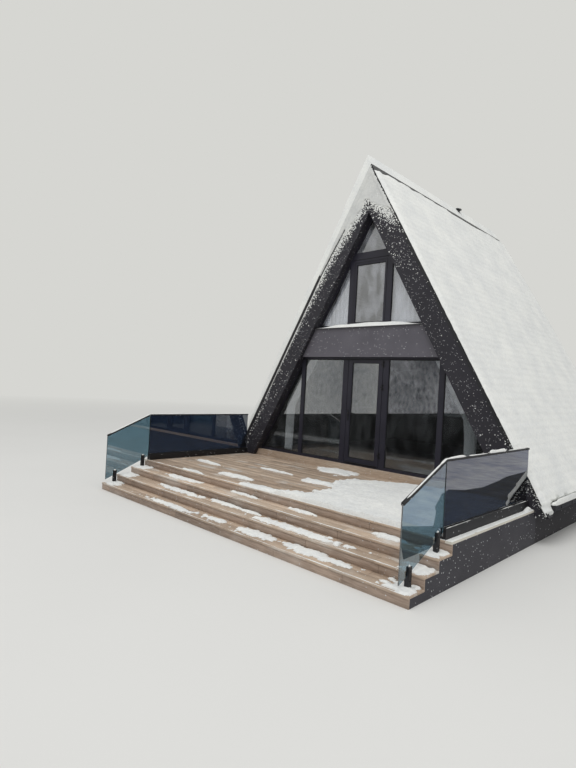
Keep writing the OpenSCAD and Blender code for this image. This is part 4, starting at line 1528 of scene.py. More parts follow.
@dataclass
class Curtain:
    """A sheer curtain gathered along the rake and hanging from its knee down, seen through the outer panes.

    Attributes:
        gable: the roof.
        rake: the offset of its outer edge under the surface.
        slim: its gathered width on the rake.
        foot: its width at the foot.
        knee: the height where it starts to hang down.
        flare: the length over which it opens below the knee.
        cloth: the cloth's flat width.
        folds: how many folds it is gathered into.
        swing: the most that a fold swings to either side.
        y: the middle of the folds.
        voile_rake: the offset of the upper sheer's outer edge.
        voile_y: the middle of its ripples.
        ripple: how far they swing.
    """

    gable: Gable
    rake: float = 0.51
    slim: float = 0.228
    foot: float = 0.23
    knee: float = 1.89
    flare: float = 0.55
    cloth: float = 0.95
    folds: int = 5
    swing: float = 0.040
    y: float = 0.365
    voile_rake: float = 0.55
    voile_y: float = 0.285
    ripple: float = 0.009

    def surface(self) -> Shape:
        """The right curtain as a grid over u across and v down.

        Its edge follows the rake down to the knee, then a plumb line. Across, it is a cosine of so many folds
        whose swing makes each row about as long as the flat cloth, up to the most that a fold may swing:
        swing = wave / 4 * sqrt((cloth / width)^2 - 1), with the wave's own width.

        Returns:
            The cloth, with the flat cloth's own measures as its chart.
        """
        low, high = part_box("curtain_right")
        u = np.linspace(0, 1, self.folds * 12 + 1)
        z = np.linspace(high.z - 0.01, low.z + 0.005, 70)
        outer = np.minimum(self.gable.half(self.rake, z), self.gable.half(self.rake, self.knee))
        on_rake = self.slim / math.sin(self.gable.pitch)
        width = on_rake + (self.foot - on_rake) * ease(0, 1, (self.knee + 0.1 - z) / self.flare)
        wave = width / self.folds
        swing = wave / 4 * np.sqrt(np.maximum((self.cloth / width) ** 2 - 1, 0))
        swing = np.minimum(swing, self.swing) * (0.92 + 0.08 * np.cos(z * 5))
        uneven = Drift(71, 0.5, 2).at(z[:, None], u[None] * 2) - 0.5
        x = outer[:, None] - u[None] * width[:, None] + 0.25 * wave[:, None] * uneven * np.sin(math.pi * u)
        phase = 2 * math.pi * self.folds * u[None] + 0.5 * np.sin(z[:, None] * 2.1)
        lean = 1 + 0.12 * np.sin(z[:, None] * 3.3 + 9 * u[None])
        y = self.y + swing[:, None] * np.cos(phase) * lean * 0.88
        points = stacked(x, y, z[:, None])
        middle = points[:, len(u) // 2]
        run = np.concatenate([[0], np.cumsum(np.linalg.norm(np.diff(middle, axis=0), axis=1))])
        chart = np.stack(np.broadcast_arrays(u * self.cloth, run[:, None]), -1).reshape(-1, 2)
        faces = quads_on(*x.shape).reshape(-1, 4)[:, [0, 3, 2, 1]]
        return Shape(points.reshape(-1, 3), faces, None, chart)

    @staticmethod
    def area(shape: Shape) -> float:
        """The surface's area: half the length of the product of each face's diagonals, summed."""
        a, b, c, d = (shape.points[shape.faces[:, k]] for k in range(4))
        return float(np.linalg.norm(np.cross(c - a, d - b), axis=1).sum() / 2)

    def voile(self) -> Shape:
        """The sheer that fills the right triangle of the upper glazing, as a grid over x and height.

        Its top follows the rake, its foot is level, and y is a cosine of x with a swing of 9 mm.

        Returns:
            The cloth, with the flat cloth's own measures as its chart.
        """
        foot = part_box("sill_flashing")[1].z + 0.06
        end = self.gable.half(self.voile_rake, foot + 0.03)
        x = np.linspace(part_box("upper_sash")[1].x + 0.03, end, 90)
        top = (self.gable.half(self.voile_rake, 0.0) - x) * math.tan(self.gable.pitch)
        v = np.linspace(0, 1, 25)[:, None]
        z = top * (1 - v) + foot * v
        phase = 2 * math.pi * x / 0.11 + 0.6 * np.sin(2.4 * z)
        y = self.voile_y + self.ripple * np.cos(phase) + 0.003 * np.sin(9 * x)
        chart = np.stack(np.broadcast_arrays(1.05 * x, z), -1).reshape(-1, 2)
        return Shape(stacked(x, y, z).reshape(-1, 3), quads_on(*z.shape).reshape(-1, 4), None, chart)

    @staticmethod
    def hung(shape: Shape, name: str, thick: float, stands_for: tuple[str, ...] = ()) -> bpy.types.Object:
        """Builds one cloth.

        Args:
            shape: its middle surface.
            name: the piece's name.
            thick: the cloth's thickness.
            stands_for: the CAD nodes that it replaces.

        Returns:
            The new object.
        """
        piece = shape.build(name, "sheer_curtain", SHEER, stands_for=stands_for, soft_angle=80)
        solid = piece.modifiers.new("cloth", "SOLIDIFY")
        solid.thickness, solid.offset = thick, 0
        return piece

    def hang_voiles(self) -> None:
        """Both upper sheers as sheets, half a millimetre thick."""
        right = self.voile()
        for side, shape in ((Side.RIGHT, right), (Side.LEFT, right.mirrored())):
            piece = self.hung(shape, f"upper_sheer_{side.name.lower()}", 0.0005)

    def build(self) -> None:
        """Both curtains as sheets, 1 mm thick, and the upper sheers."""
        self.hang_voiles()
        right = self.surface()
        for side, shape in ((Side.RIGHT, right), (Side.LEFT, right.mirrored())):
            word = side.name.lower()
            piece = self.hung(shape, f"gathered_curtain_{word}", 0.001, (f"curtain_{word}",))


# Terrace and steps


@dataclass
class Planks:
    """Wood-look porcelain planks on the terrace, treads and risers, each with its own tone and joints.

    Attributes:
        length: of a plank.
        width: of a plank.
        joint: the gap between planks.
        shift: how far each row's joints are moved on.
        rise: of one step.
        depth: of one tread.
        steps: the number of risers.
        thick: of a tread.
        under: how far a tread runs on under the next riser.
        riser: the thickness of a riser.
        nosing: how far a tread stands over its riser.
        edge: the chamfer.
    """

    length: float = 1.2
    width: float = 0.1967
    joint: float = 0.004
    shift: float = 0.444
    rise: float = 0.14
    depth: float = 0.32
    steps: int = 4
    thick: float = 0.03
    under: float = 0.03
    riser: float = 0.02
    nosing: float = 0.01
    edge: float = 0.0015

    def rows(self, low: Array, high: Array, seed: int) -> Shape:
        """Fills a flat box with rows of planks along X, each row shifted by 0.37 of a plank.

        Args:
            low: the box's lowest corner.
            high: its highest corner.
            seed: picks the first row's shift and each plank's tone.

        Returns:
            The planks.
        """
        lows, highs = [], []
        for k, (y0, y1) in enumerate(runs(low[1], high[1], self.width, joint=self.joint)):
            x = runs(low[0], high[0], self.length, self.shift * (k + seed) % self.length, self.joint)
            lows.append(stacked(x[:, 0], y0, low[2]))
            highs.append(stacked(x[:, 1], y1, high[2]))
        return blocks(np.vstack(lows), np.vstack(highs), seed)

    def lay(self, planks: Shape, name: str, finish: Finish, node: str) -> None:
        """Builds planks in place of a CAD node and takes the arris off every one.

        Args:
            planks: their shape.
            name: the piece's name.
            finish: what it is dressed in.
            node: the CAD node that it replaces.
        """
        piece = planks.build(name, "porcelain_tile", finish, stands_for=(node,))
        bevel = piece.modifiers.new("arris", "BEVEL")
        bevel.width, bevel.segments, bevel.limit_method = self.edge, 1, "ANGLE"

    def build(self) -> None:
        """The terrace, the treads and the risers."""
        low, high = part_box("terrace_paving")
        self.lay(self.rows(low, high, 2), "terrace_planks", PLANK, "terrace_paving")
        low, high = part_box("treads")
        half = high.x
        treads, risers = [], []
        for k in range(1, self.steps):
            y0, top = low.y + (k - 1) * self.depth, k * self.rise
            ends = (-half, y0, top - self.thick), (half, y0 + self.depth + self.under, top)
            treads.append(self.rows(*ends, 10 + k))
        for k in range(1, self.steps + 1):
            y0 = low.y + (k - 1) * self.depth + self.nosing
            x = runs(-half, half, self.length, 0.3 * k, self.joint)
            foot, top = stacked(x[:, 0], y0, (k - 1) * self.rise), stacked(x[:, 1], y0, k * self.rise)
            risers.append(blocks(foot, top + (0, self.riser, -self.thick), 20 + k))
        self.lay(joined(*treads), "tread_planks", PLANK, "treads")
        self.lay(joined(*risers), "riser_planks", RISER_PLANK_PAINTED_SHADE, "risers")


# A heap of snow: the x and y of its middle and its reach in both
Heap = tuple[float, float, float, float]


@dataclass
class TerraceSnow:
    """Snow lying on the terrace, the treads and the copings, swept off the left half.

    Attributes:
        deck: the terrace's height.
        cell: the grid's cell.
        rise: of one step.
        depth: of one tread.
        front: the lowest tread's front edge.
        coping: from the middle to the middle of a coping.
        deck_spots: the heaps left on the swept half.
        tread_spots: the heaps on each tread, the lowest first.
    """

    deck: float = 0.56
    cell: float = 0.022
    rise: float = 0.14
    depth: float = 0.32
    front: float = -3.81
    coping: float = 3.565
    deck_spots: tuple[Heap, ...] = (
        (-0.4, -0.1, 0.55, 0.3), (0.25, -1.45, 0.42, 0.14), (-1.05, -2.42, 0.5, 0.1),
        (0.15, -2.76, 0.8, 0.13), (-1.85, -2.83, 0.55, 0.05), (-0.9, -1.3, 0.7, 0.05),
        (-2.6, -1.9, 0.5, 0.06),
    )
    tread_spots: tuple[tuple[Heap, ...], ...] = (
        (
            (-1.25, -3.72, 0.95, 0.1), (0.0, -3.62, 0.34, 0.08), (0.85, -3.62, 0.5, 0.12),
            (2.1, -3.6, 0.62, 0.12),
        ),
        (
            (-1.45, -3.27, 0.8, 0.09), (-0.3, -3.21, 0.4, 0.07), (0.4, -3.22, 0.3, 0.06),
            (1.5, -3.34, 0.95, 0.11),
        ),
        (
            (-1.85, -2.98, 0.65, 0.1), (-0.25, -2.89, 0.45, 0.06), (1.2, -2.9, 0.3, 0.05),
            (2.75, -2.93, 0.25, 0.1),
        ),
    )

    def patch(
        self, low: tuple[float, float], high: tuple[float, float], z: float, cover: Cover,
        deep: float, cell: float, seed: int,
    ) -> Shape:
        """Snow on one level rectangle.

        Args:
            low: its lowest x and y.
            high: its highest x and y.
            z: its height.
            cover: how far snow wins over bare ground, from arrays of x and y; above 0 it lies.
            deep: how deep it gets where it wins by 1.
            cell: the grid's cell.
            seed: picks the lumps.

        Returns:
            The layer, thin at its borders.
        """
        x, y = (np.linspace(a, b, max(2, round((b - a) / cell)) + 1) for a, b in zip(low, high))
        x, y = np.meshgrid(x, y, indexing="ij")
        wins = cover(x, y)
        keep = covered(wins)
        lump = 0.6 + 0.5 * Drift(seed, 0.3, 4).at(x, y) + 0.3 * Drift(seed + 200, 0.07, 2).at(x, y)
        depth = thinned(deep * np.clip(wins, 0, 1) ** 0.4 * lump + 0.003, keep, 0.003)
        return sheet_between(stacked(x, y, z + HAIR + depth), stacked(x, y, z + HAIR), keep)

    @staticmethod
    def heaps(x: Array, y: Array, spots: tuple[Heap, ...]) -> Array:
        """The highest of several bells, times 1.4, less the 0.6 under which the ground stays bare."""
        return np.max([bump_at(x, a, ra) * bump_at(y, b, rb) for a, b, ra, rb in spots], axis=0) * 1.4 - 0.6

    def on_deck(self, x: Array, y: Array) -> Array:
        """Full cover right of a ragged line, and thin patches and streaks along the planks on its left.

        Args:
            x: places to the right.
            y: places back.

        Returns:
            How far snow wins there.
        """
        back = [-2.85, -2.6, -2.2, -1.7, -1.0, -0.6, -0.4, -0.1, 0.1]
        line = np.interp(y, back, [0.3, 0.6, 0.9, 0.8, 0.47, 0.45, 0.7, 1.3, 1.8])
        crumbs = Drift(82, 0.14).at(x, y) - 0.5
        wins = (x - line) / 0.4 + 0.9 * (Drift(81, 0.45, 4).at(x, y) - 0.5) + 0.8 * crumbs
        wins += 0.7 * (Drift(85, 0.05, 2).at(x, y) - 0.5)
        streaks = 0.9 * (Drift(84, 0.2).at(x * 0.45, y) - 0.5)
        return np.maximum(wins, 0.45 * (self.heaps(x, y, self.deck_spots) + streaks + 0.9 * crumbs))

    def on_tread(self, k: int, x: Array, y: Array) -> Array:
        """Full cover at both ends of a tread and ragged patches between them.

        Args:
            k: which tread, 1 for the lowest.
            x: places to the right.
            y: places back.

        Returns:
            How far snow wins there.
        """
        ends = ease(2.9, 3.4, np.abs(x)) * 1.3 - 0.85
        ragged = 0.7 * (Drift(90 + k, 0.3, 4).at(x * 0.6, y * 1.6) - 0.5)
        ragged += 1.1 * (Drift(86 + k, 0.07, 2).at(x, y) - 0.5)
        front = self.front + (k - 1) * self.depth
        rim = 0.7 * (1 - ease(0.0, 0.06, y - front)) + 0.5 * (1 - ease(0.0, 0.05, 3.6 - np.abs(x)))
        return np.maximum(ends, self.heaps(x, y, self.tread_spots[k - 1])) + ragged - rim

    def on_coping(self, x: Array, y: Array) -> Array:
        """Ragged cover on most of a coping, which soon ends more than 30 mm off its middle line."""
        off_middle = np.maximum(np.abs(np.abs(x) - self.coping) - 0.03, 0)
        return 0.9 * (Drift(99, 0.12).at(x, y) - 0.12) - 9 * off_middle

    def on_nosing(self, k: int) -> Shape:
        """A thin broken line of snow along the front edge of one level.

        Args:
            k: which level, 1 for the lowest tread and 4 for the deck.

        Returns:
            The line.
        """
        x = np.linspace(-3.55, 3.55, 260)
        lumps = np.clip(Drift(150 + k, 0.25, 4).along(x) * 2.2 - 0.55, 0.04, 1.1)
        path = stacked(x, self.front + (k - 1) * self.depth + 0.008, k * self.rise + 0.0004)
        return ribbon(path, 0.007 * lumps, 0.008 * lumps, BACK, UP, 5)

    def build(self) -> None:
        """The deck's snow, each tread's snow and the ragged cover of the copings."""
        deck = self.patch((-3.42, -2.846), (3.42, 0.09), self.deck, self.on_deck, 0.065, self.cell, 83)
        deck.settle("terrace_snow")
        treads = [
            self.patch(
                (-3.6, self.front + (k - 1) * self.depth + 0.004), (3.6, self.front + k * self.depth + 0.008),
                k * self.rise, functools.partial(self.on_tread, k), 0.03, 0.018, 95 + k,
            )
            for k in (1, 2, 3)
        ]
        joined(*treads, *(self.on_nosing(k) for k in (1, 2, 3, 4))).settle("tread_snow")
        strips = [
            self.patch((x0, -2.845), (x1, 0.09), self.deck, self.on_coping, 0.011, 0.012, 98)
            for x0, x1 in ((3.521, 3.608), (-3.608, -3.521))
        ]
        y = np.linspace(-0.36, -0.02, 16)
        path = stacked(self.coping, y, self.deck + 0.0005)
        heap = ribbon(path, 0.036, 0.07 * bump_at(y, -0.16, 0.13), RIGHT, UP)
        joined(*strips, both(heap)).settle("coping_snow")


# Balustrades, gutters and rear


@dataclass
class Balustrade:
    """Bolts, seals and snow of the two glass balustrades.

    Attributes:
        x: the panes' plane.
        top: the level rail's top.
        y0: its front end.
        y1: its rear end.
        bend: where the level rail ends and the sloping one begins.
        slope: the sloping rail's rise over its run.
        foot: the steps' front end.
        shell: how far a clamp's face is off the panes' plane.
        clamp: a clamp's height with the hair under its snow.
    """

    x: float = 3.475
    top: float = 1.56
    y0: float = -2.84
    y1: float = -0.018
    bend: float = -2.85
    slope: float = 0.14 / 0.32
    foot: float = -3.81
    shell: float = 0.028
    clamp: float = 0.2555

    def clamps(self) -> list[tuple[float, float]]:
        """Place back and foot height of the two clamps of one side."""
        return [(self.foot + 0.2, 0.14), (self.y0 - 0.14, 0.42)]

    def build(self) -> None:
        """Clamp bolts, the seal between the two panes and the snow banks on the rails."""
        bolts = [
            discs([(self.x + way * self.shell, y, z + up)], 0.013, way * 0.007, 0)
            for y, z in self.clamps() for up in (0.09, 0.2) for way in (1, -1)
        ]
        both(joined(*bolts)).build("clamp_bolts", "hardware", FITTING)
        strips = [
            blocks((self.x + a, self.y0 - 0.011, 0.705), (self.x + b, self.y0 + 0.001, self.top - 0.019))
            for a, b in ((0.0087, 0.0125), (-0.0125, -0.0087))
        ]
        both(joined(*strips)).build("pane_joint_seals", "rail_metal", RUBBER)
        self.rail_snow()

    def bank(
        self, side: Side, y0: float, y1: float, width: float, height: tuple[float, float], seed: int,
        gaps: float,
    ) -> Shape:
        """A bank of snow on a rail, which follows the slope in front of the bend.

        Args:
            side: which rail.
            y0: where the bank starts.
            y1: where it ends.
            width: half its width where it is highest.
            height: its height at both ends.
            seed: picks the lumps.
            gaps: how much of the lumps' range is cut off; more leaves wider gaps.

        Returns:
            The bank.
        """
        y = np.linspace(y0, y1, max(12, round(abs(y1 - y0) / 0.03)))
        z = self.top + np.minimum(0, (y - self.bend) * self.slope) + 0.0005
        lumps = np.clip(Drift(seed, 0.35).along(y) - gaps, 0.02, 1) / (1 - gaps)
        path = stacked(side.value * self.x, y, z)
        return ribbon(path, width * (0.6 + 0.6 * lumps), np.interp(y, [y0, y1], height) * lumps, RIGHT, UP)

    def rail_snow(self) -> None:
        """The far rail holds a whole strip; the near one holds a few lumps by its bend and its middle."""
        shapes = [
            self.bank(Side.LEFT, -3.75, -0.05, 0.021, (0.03, 0.04), 101, 0.1),
            self.bank(Side.RIGHT, -3.72, -2.95, 0.014, (0.008, 0.018), 105, 0.2),
            self.bank(Side.RIGHT, -3.0, -2.3, 0.02, (0.03, 0.04), 102, 0.2),
            self.bank(Side.RIGHT, -1.55, -0.95, 0.022, (0.065, 0.055), 103, 0.05),
            self.bank(Side.RIGHT, -2.2, -1.6, 0.018, (0.016, 0.018), 104, 0.25),
            self.bank(Side.RIGHT, -0.85, -0.1, 0.016, (0.014, 0.01), 106, 0.3),
        ]
        y = np.linspace(self.y0 + 0.02, self.y1 - 0.05, 90)
        lumps = np.clip(2.4 * Drift(107, 0.2).along(y) - 1.0, 0.03, 0.7)
        shoe = stacked(self.x + 0.033, y, 0.7005)
        shapes.append(both(ribbon(shoe, 0.009 * lumps, 0.009 * lumps, RIGHT, UP, 5)))
        tops = [(self.x, y, z + self.clamp) for y, z in self.clamps()]
        shapes.append(both(discs(tops, 0.021, 0.02, 2, 9, 0.2)))
        joined(*shapes).settle("rail_snow")


@dataclass
class Eaves:
    """Brackets and snow of the gutters, and the snow on the sill of the upper glazing.

    Attributes:
        gable: the roof.
        gutter: a gutter's width.
        spacing: from bracket to bracket.
        strap: a bracket's width.
        sill_rake: the offset under the surface at which the sill's snow ends.
    """

    gable: Gable
    gutter: float = 0.12
    spacing: float = 0.6
    strap: float = 0.025
    sill_rake: float = 0.506

    def build(self) -> None:
        """Gutter straps, gutter snow and the snow on the sill."""
        low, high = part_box("gutters")
        inner, outer = high.x - self.gutter, high.x + 0.004
        y = np.arange(low.y + 0.3, high.y - 0.2, self.spacing)
        start, end = stacked(inner - 0.002, y, high.z + HAIR), stacked(outer, y + self.strap, high.z + 0.0035)
        straps = blocks(start, end)
        start, end = stacked(high.x + HAIR, y, low.z + 0.01), stacked(outer, y + self.strap, high.z + 0.0002)
        both(joined(straps, blocks(start, end))).build("gutter_brackets", "black_metal", SHEET)
        y = np.linspace(low.y + 0.012, high.y - 0.012, 160)
        lumps = 0.75 + 0.5 * Drift(111, 0.6).along(y)
        bank = ribbon(stacked(inner + self.gutter / 2, y, high.z - 0.02), 0.053, 0.05 * lumps, RIGHT, UP, 10)
        lip = ribbon(stacked(high.x - 0.003, y, high.z + 0.004), 0.02, 0.09 * lumps, RIGHT, UP)
        both(joined(bank, lip)).settle("gutter_snow")
        self.sill()

    def sill(self) -> None:
        """A bank on the sill whose depth falls off towards its ends and its front."""
        low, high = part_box("sill_flashing")
        half = self.gable.half(self.sill_rake, high.z + 0.05) - 0.004
        x = np.linspace(-half, half, 150)
        y = np.linspace(low.y + 0.004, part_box("upper_sash")[0].y - 0.001, 12)
        x, y = np.meshgrid(x, y, indexing="ij")
        depth = 0.085 * (0.7 + 0.6 * Drift(121, 0.5).at(x, y)) * ease(-0.01, 0.1, y - low.y)
        depth *= ease(0, 0.7, half - np.abs(x)) * 0.8 + 0.2
        keep = np.ones_like(middles(x), bool)
        foot = high.z + HAIR
        bank = sheet_between(stacked(x, y, foot + np.maximum(depth, 0.002)), stacked(x, y, foot), keep)
        bank.settle("sill_snow")


@dataclass
class RearGable:
    """The unseen gable: stained boards round the CAD's windows, seals and sills.

    Attributes:
        gable: the roof.
        board: a board's width with its joint.
        gap: the joint.
        thick: a board's thickness.
        shortest: a board shorter than this is left out.
        foot: the boards' lower end.
        sill: how far a sill stands out.
        ear: how far it runs past the window on either side, and how deep it is.
        band: the legs' inner face, as an offset under the surface.
        window: the width and the height of a lower window.
        top_window: the width and the height of the upper one.
        profile: from a window's outside to its pane.
    """

    gable: Gable
    board: float = 0.145
    gap: float = 0.008
    thick: float = 0.018
    shortest: float = 0.03
    foot: float = 0.69
    sill: float = 0.06
    ear: float = 0.03
    band: float = 0.5056
    window: tuple[float, float] = (1.0, 1.25)
    top_window: tuple[float, float] = (1.0, 0.9)
    profile: float = 0.0653

    def windows(self) -> list[tuple[float, float, float, float]]:
        """The three windows, placed in the box of the CAD's frames.

        Returns:
            Lowest and highest x, then lowest and highest z of each.
        """
        low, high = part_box("rear_window_frames")
        wide, tall = self.window
        right = (high.x - wide, high.x, low.z, low.z + tall)
        wide, tall = self.top_window
        return [(-right[1], -right[0], *right[2:]), right, (-wide / 2, wide / 2, high.z - tall, high.z)]

    def boards(self) -> Shape:
        """Vertical boards, cut to the rakes and stopped above and below each window.

        Returns:
            The boards, each with its own random tone.
        """
        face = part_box("rear_wall")[1].y
        windows, shapes = self.windows(), []
        x_end = self.gable.half(self.band, self.foot)
        edges = sorted({-x_end, x_end, *(x for window in windows for x in window[:2])})
        for a, b in zip(edges, edges[1:]):
            joints = np.linspace(a, b, max(1, round((b - a) / self.board)) + 1)
            for x0, x1 in zip(joints[:-1], joints[1:]):
                holes = sorted(window[2:] for window in windows if window[0] < (x0 + x1) / 2 < window[1])
                levels = [self.foot, *(z for hole in holes for z in hole), self.gable.apex]
                for z0, z1 in zip(levels[::2], levels[1::2]):
                    cut = self.gable.cut(rectangle(x0 + self.gap / 2, x1 - self.gap / 2, z0, z1), self.band)
                    if len(cut) > 2 and np.ptp(cut[:, 1]) > self.shortest:
                        shapes.append(prism(cut, face + HAIR, face + self.thick))
        tones = np.random.default_rng(131).random(len(shapes))
        return joined(*(replace(shape, tone=shape.tone * 0 + tone) for shape, tone in zip(shapes, tones)))

    def build(self) -> None:
        """Boards, window seals and sills."""
        self.boards().build("rear_boards", "rear_cladding", STAINED)
        front, back = (corner.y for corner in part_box("rear_glass"))
        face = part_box("rear_wall")[1].y + self.thick
        rims, sills, edge = [], [], self.profile
        for x0, x1, z0, z1 in self.windows():
            rims.append(seals(rectangle(x0 + edge, x1 - edge, z0 + edge, z1 - edge), front, back))
            start = (x0 - self.ear, face + HAIR, z0 - self.ear)
            sills.append(blocks(start, (x1 + self.ear, face + self.sill, z0 - 0.002)))
        joined(*rims).build("rear_window_seals", "window_frame", RUBBER)
        joined(*sills).build("rear_sills", "black_metal", SHEET)


# Studio


@dataclass(frozen=True)
class Floor(Finish):
    """The studio floor, whose colour drifts far from the house to that of the background.

    Attributes:
        far: the colour far away.
        near_end: where the drift starts, as a distance from the origin.
        far_end: where it ends.
    """

    far: Colour = (214, 214, 210)
    near_end: float = 9.0
    far_end: float = 45.0

    def pattern(self, shader: Shader) -> tuple[Socket, Socket]:
        """The matt pattern, which fades out with the distance from the origin while the far tone fades in.

        Args:
            shader: the material.

        Returns:
            The floor's colour and 0..1 height.
        """
        colour, grain = super().pattern(shader)
        reach = shader.add("ShaderNodeVectorMath", {0: shader.place()}, operation="LENGTH").outputs["Value"]
        fade = shader.span(reach, self.near_end, self.far_end)
        shader.surface.inputs["Emission Color"].default_value = linear(self.far)
        shader.feed(shader.surface.inputs["Emission Strength"], fade)
        shader.surface.inputs["Specular IOR Level"].default_value = 0.0
        return shader.mix(fade, colour, (0.0, 0.0, 0.0, 1.0)), grain


@dataclass
class Studio:
    """The floor, the pale surroundings, the soft light and the camera.

    Attributes:
        eye: the camera's place.
        heading: its turn about Z in degrees, 0 along +Y and more to the left.
        lift: how far it looks up, in degrees.
        roll: how far the picture's right side is raised, in degrees.
        lens: its focal length in millimetres on 36 mm along the long side.
        pale: the colour of the surroundings.
        ground: the colour of the floor.
        far: how far the floor reaches from the origin.
        sky: the strength of the even light.
        lamp: the power of the overhead lamp.
        lamp_size: its width.
        lamp_place: where it hangs.
        lamp_aim: the point that it shines at.
    """

    eye: Point = (6.453, -8.784, 2.375)
    heading: float = 44.252
    lift: float = 0.06
    roll: float = 3.172
    lens: float = 23.94
    pale: Colour = (214, 214, 210)
    ground: Colour = (223, 223, 220)
    far: float = 400.0
    sky: float = 0.61
    lamp: float = 5650.0
    lamp_size: float = 22.0
    lamp_place: Point = (6.2, -14.7, 33.4)
    lamp_aim: Point = (1.0, 0.0, 2.0)

    def camera(self) -> None:
        """Looks along (-sin h cos l, cos h cos l, sin l) for heading h and lift l, rolled by r."""
        h, l, r = (math.radians(angle) for angle in (self.heading, self.lift, self.roll))
        ahead = np.array([-math.sin(h) * math.cos(l), math.cos(h) * math.cos(l), math.sin(l)])
        right = np.array([math.cos(h), math.sin(h), 0.0])
        up = np.cross(right, ahead)
        columns = [math.cos(r) * right + math.sin(r) * up, math.cos(r) * up - math.sin(r) * right, -ahead]
        data = bpy.data.cameras.new("view")
        data.lens, data.sensor_width, data.clip_end = self.lens, 36.0, 2000.0
        camera = bpy.data.objects.new("view", data)
        camera.matrix_world = Matrix.Translation(self.eye) @ Matrix(np.array(columns).T.tolist()).to_4x4()
        bpy.context.scene.collection.objects.link(camera)
        bpy.context.scene.camera = camera

    def surroundings(self) -> None:
        """An even pale world: camera, gloss and glass see the background, and the rest is the light."""
        world = bpy.data.worlds.new("surroundings")
        world.use_nodes = True
        nodes = Nodes(world.node_tree)
        nodes.tree.nodes.clear()
        path = nodes.add("ShaderNodeLightPath").outputs
        pick = nodes.math("MAXIMUM", path["Is Camera Ray"], path["Is Glossy Ray"])
        pick = nodes.math("MAXIMUM", pick, path["Is Transmission Ray"])
        seen = nodes.add("ShaderNodeBackground", {"Color": linear(self.pale)}).outputs[0]
        white = {"Color": (1.0, 1.0, 1.0, 1.0), "Strength": self.sky}
        lit = nodes.add("ShaderNodeBackground", white).outputs[0]
        mix = nodes.add("ShaderNodeMixShader", {0: pick, 1: lit, 2: seen}).outputs[0]
        nodes.add("ShaderNodeOutputWorld", {0: mix})
        bpy.context.scene.world = world

    def panel(self, name: str, corners: Array, finish: Finish) -> bpy.types.Object:
        """A flat stage piece.

        Args:
            name: the piece's name.
            corners: its corners in turn.
            finish: what it is dressed in.

        Returns:
            The new object.
        """
        mesh = bpy.data.meshes.new(name)
        mesh.from_pydata(corners.tolist(), [], [tuple(range(len(corners)))])
        mesh.materials.append(material(finish))
        panel = bpy.data.objects.new(name, mesh)
        bpy.context.scene.collection.objects.link(panel)
        return panel

    def flags(self) -> None:
        """Cloths that only glass reflects, as painted reflections: black, brown, dusk and mauve ones on or
        near the ground.

        Upright before the terrace stand another black one, a pale one and a grey one.
        """
        black = Finish("flag_cloth", (14, 15, 17), (10, 11, 12), grain=0.02)
        dusk = Finish("dusk_cloth", (12, 14, 19), (66, 72, 88), cloud=0.9, grain=0.2)
        mauve = Finish("mauve_cloth", (250, 252, 255), (186, 190, 212), cloud=1.6, grain=0.35)
        brown = Finish("brown_cloth", (52, 44, 38), (26, 23, 21), cloud=0.5)
        veil = functools.partial(Finish, stretch=(1, 1, 0.6))
        pale = veil("pale_cloth", (255, 255, 253), (190, 193, 197), cloud=2.0, grain=0.15)
        grey = veil("grey_cloth", (232, 233, 238), (112, 114, 121), cloud=1.2, grain=0.12)
        beside_slope = [
            (3.95, -0.5), (4.85, -0.5), (5.35, 0.55), (5.62, 1.0), (5.9, 1.7), (6.2, 2.4), (6.35, 3.1),
            (6.1, 3.35), (5.98, 4.2), (6.12, 5.4), (6.3, 6.6), (6.4, 9.0), (3.95, 9.0),
        ]
        beside_steps = [(4.25, -2.45), (5.25, -1.0), (4.85, -0.4), (4.4, -0.9), (4.28, -1.5)]
        upright, level = 1, 2
        for name, cloth, axis, place, outline in (
            ("flag_front", black, upright, -8.8, [(-14, 0.02), (-1.2, 0.02), (-1.2, 1.72), (-14, 0.72)]),
            ("flag_floor_near", black, level, 0.02, [(-1.2, -8.9), (7, -8.9), (80, -90), (-1.2, -90)]),
            ("flag_floor_far", mauve, level, 0.01, [(3.95, -0.6), (14, -0.6), (14, 24), (3.95, 24)]),
            ("flag_floor_front", black, level, 0.02, [(-14, -8.8), (-1.2, -8.8), (2.6, -3.9), (-14, -3.9)]),
            ("flag_floor_right", dusk, level, 0.02, beside_slope),
            ("flag_floor_steps", dusk, level, 0.02, beside_steps),
            ("flag_deck", brown, level, 0.66, rectangle(-3.4, 3.4, -2.84, 0.05)),
            ("flag_pale", pale, upright, -8.85, rectangle(-14, -5.45, 0.5, 4.3)),
            ("flag_grey", grey, upright, -8.85, rectangle(-5.45, -1.2, 0.5, 4.3)),
        ):
            flag = self.panel(name, np.insert(np.array(outline, float), axis, place, axis=1), cloth)
            flag.visible_camera = flag.visible_diffuse = flag.visible_shadow = False
            flag.visible_transmission = cloth is not brown

    def light(self) -> None:
        """A wide soft lamp overhead, which neither gloss nor the camera sees."""
        data = bpy.data.lights.new("overhead", "AREA")
        data.energy, data.size = self.lamp, self.lamp_size
        lamp = bpy.data.objects.new("overhead", data)
        back = Vector(np.subtract(self.lamp_place, self.lamp_aim)).to_track_quat("Z", "Y")
        lamp.matrix_world = Matrix.Translation(self.lamp_place) @ back.to_matrix().to_4x4()
        lamp.visible_glossy = lamp.visible_camera = False
        bpy.context.scene.collection.objects.link(lamp)

    def build(self) -> None:
        """Floor, world, lamp and camera, and the plain display transform."""
        far, second = self.far, tuple(channel - 3 for channel in self.ground)
        cover = Floor("studio_floor", self.ground, second, cloud=3.0, depth=0.0002, rough=(0.85, 0.95))
        self.panel("floor", np.insert(rectangle(-far, far, -far, far), 2, 0, axis=1), cover)
        self.surroundings()
        self.flags()
        self.light()
        self.camera()
        bpy.context.scene.view_settings.view_transform = "Standard"


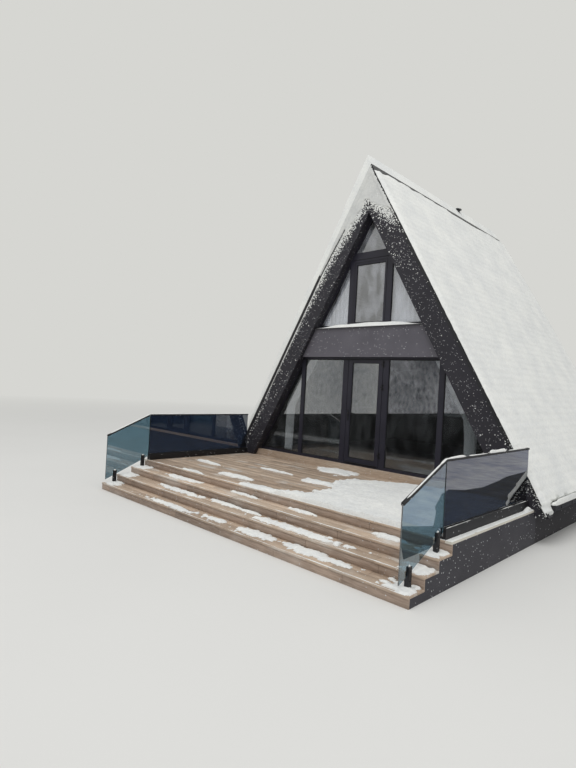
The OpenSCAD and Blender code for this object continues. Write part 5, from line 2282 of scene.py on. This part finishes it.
def main() -> None:
    """Builds every sub-assembly in order."""
    logging.basicConfig(level=logging.INFO, format="%(name)s: %(message)s")
    gable = Gable.from_frame()
    LOG.info("pitch %.2f degrees, ridge at %.3f m", math.degrees(gable.pitch), gable.apex)
    dress_nodes()
    for part in (
        ShingleCourses(gable), Glazing(gable), DoorFittings(), Curtain(gable), Planks(), Balustrade(),
        Eaves(gable), RearGable(gable), RoofSnow(gable), GableSnow(gable), TerraceSnow(),
    ):
        part.build()
    Studio().build()


if __name__ == "__main__":
    main()
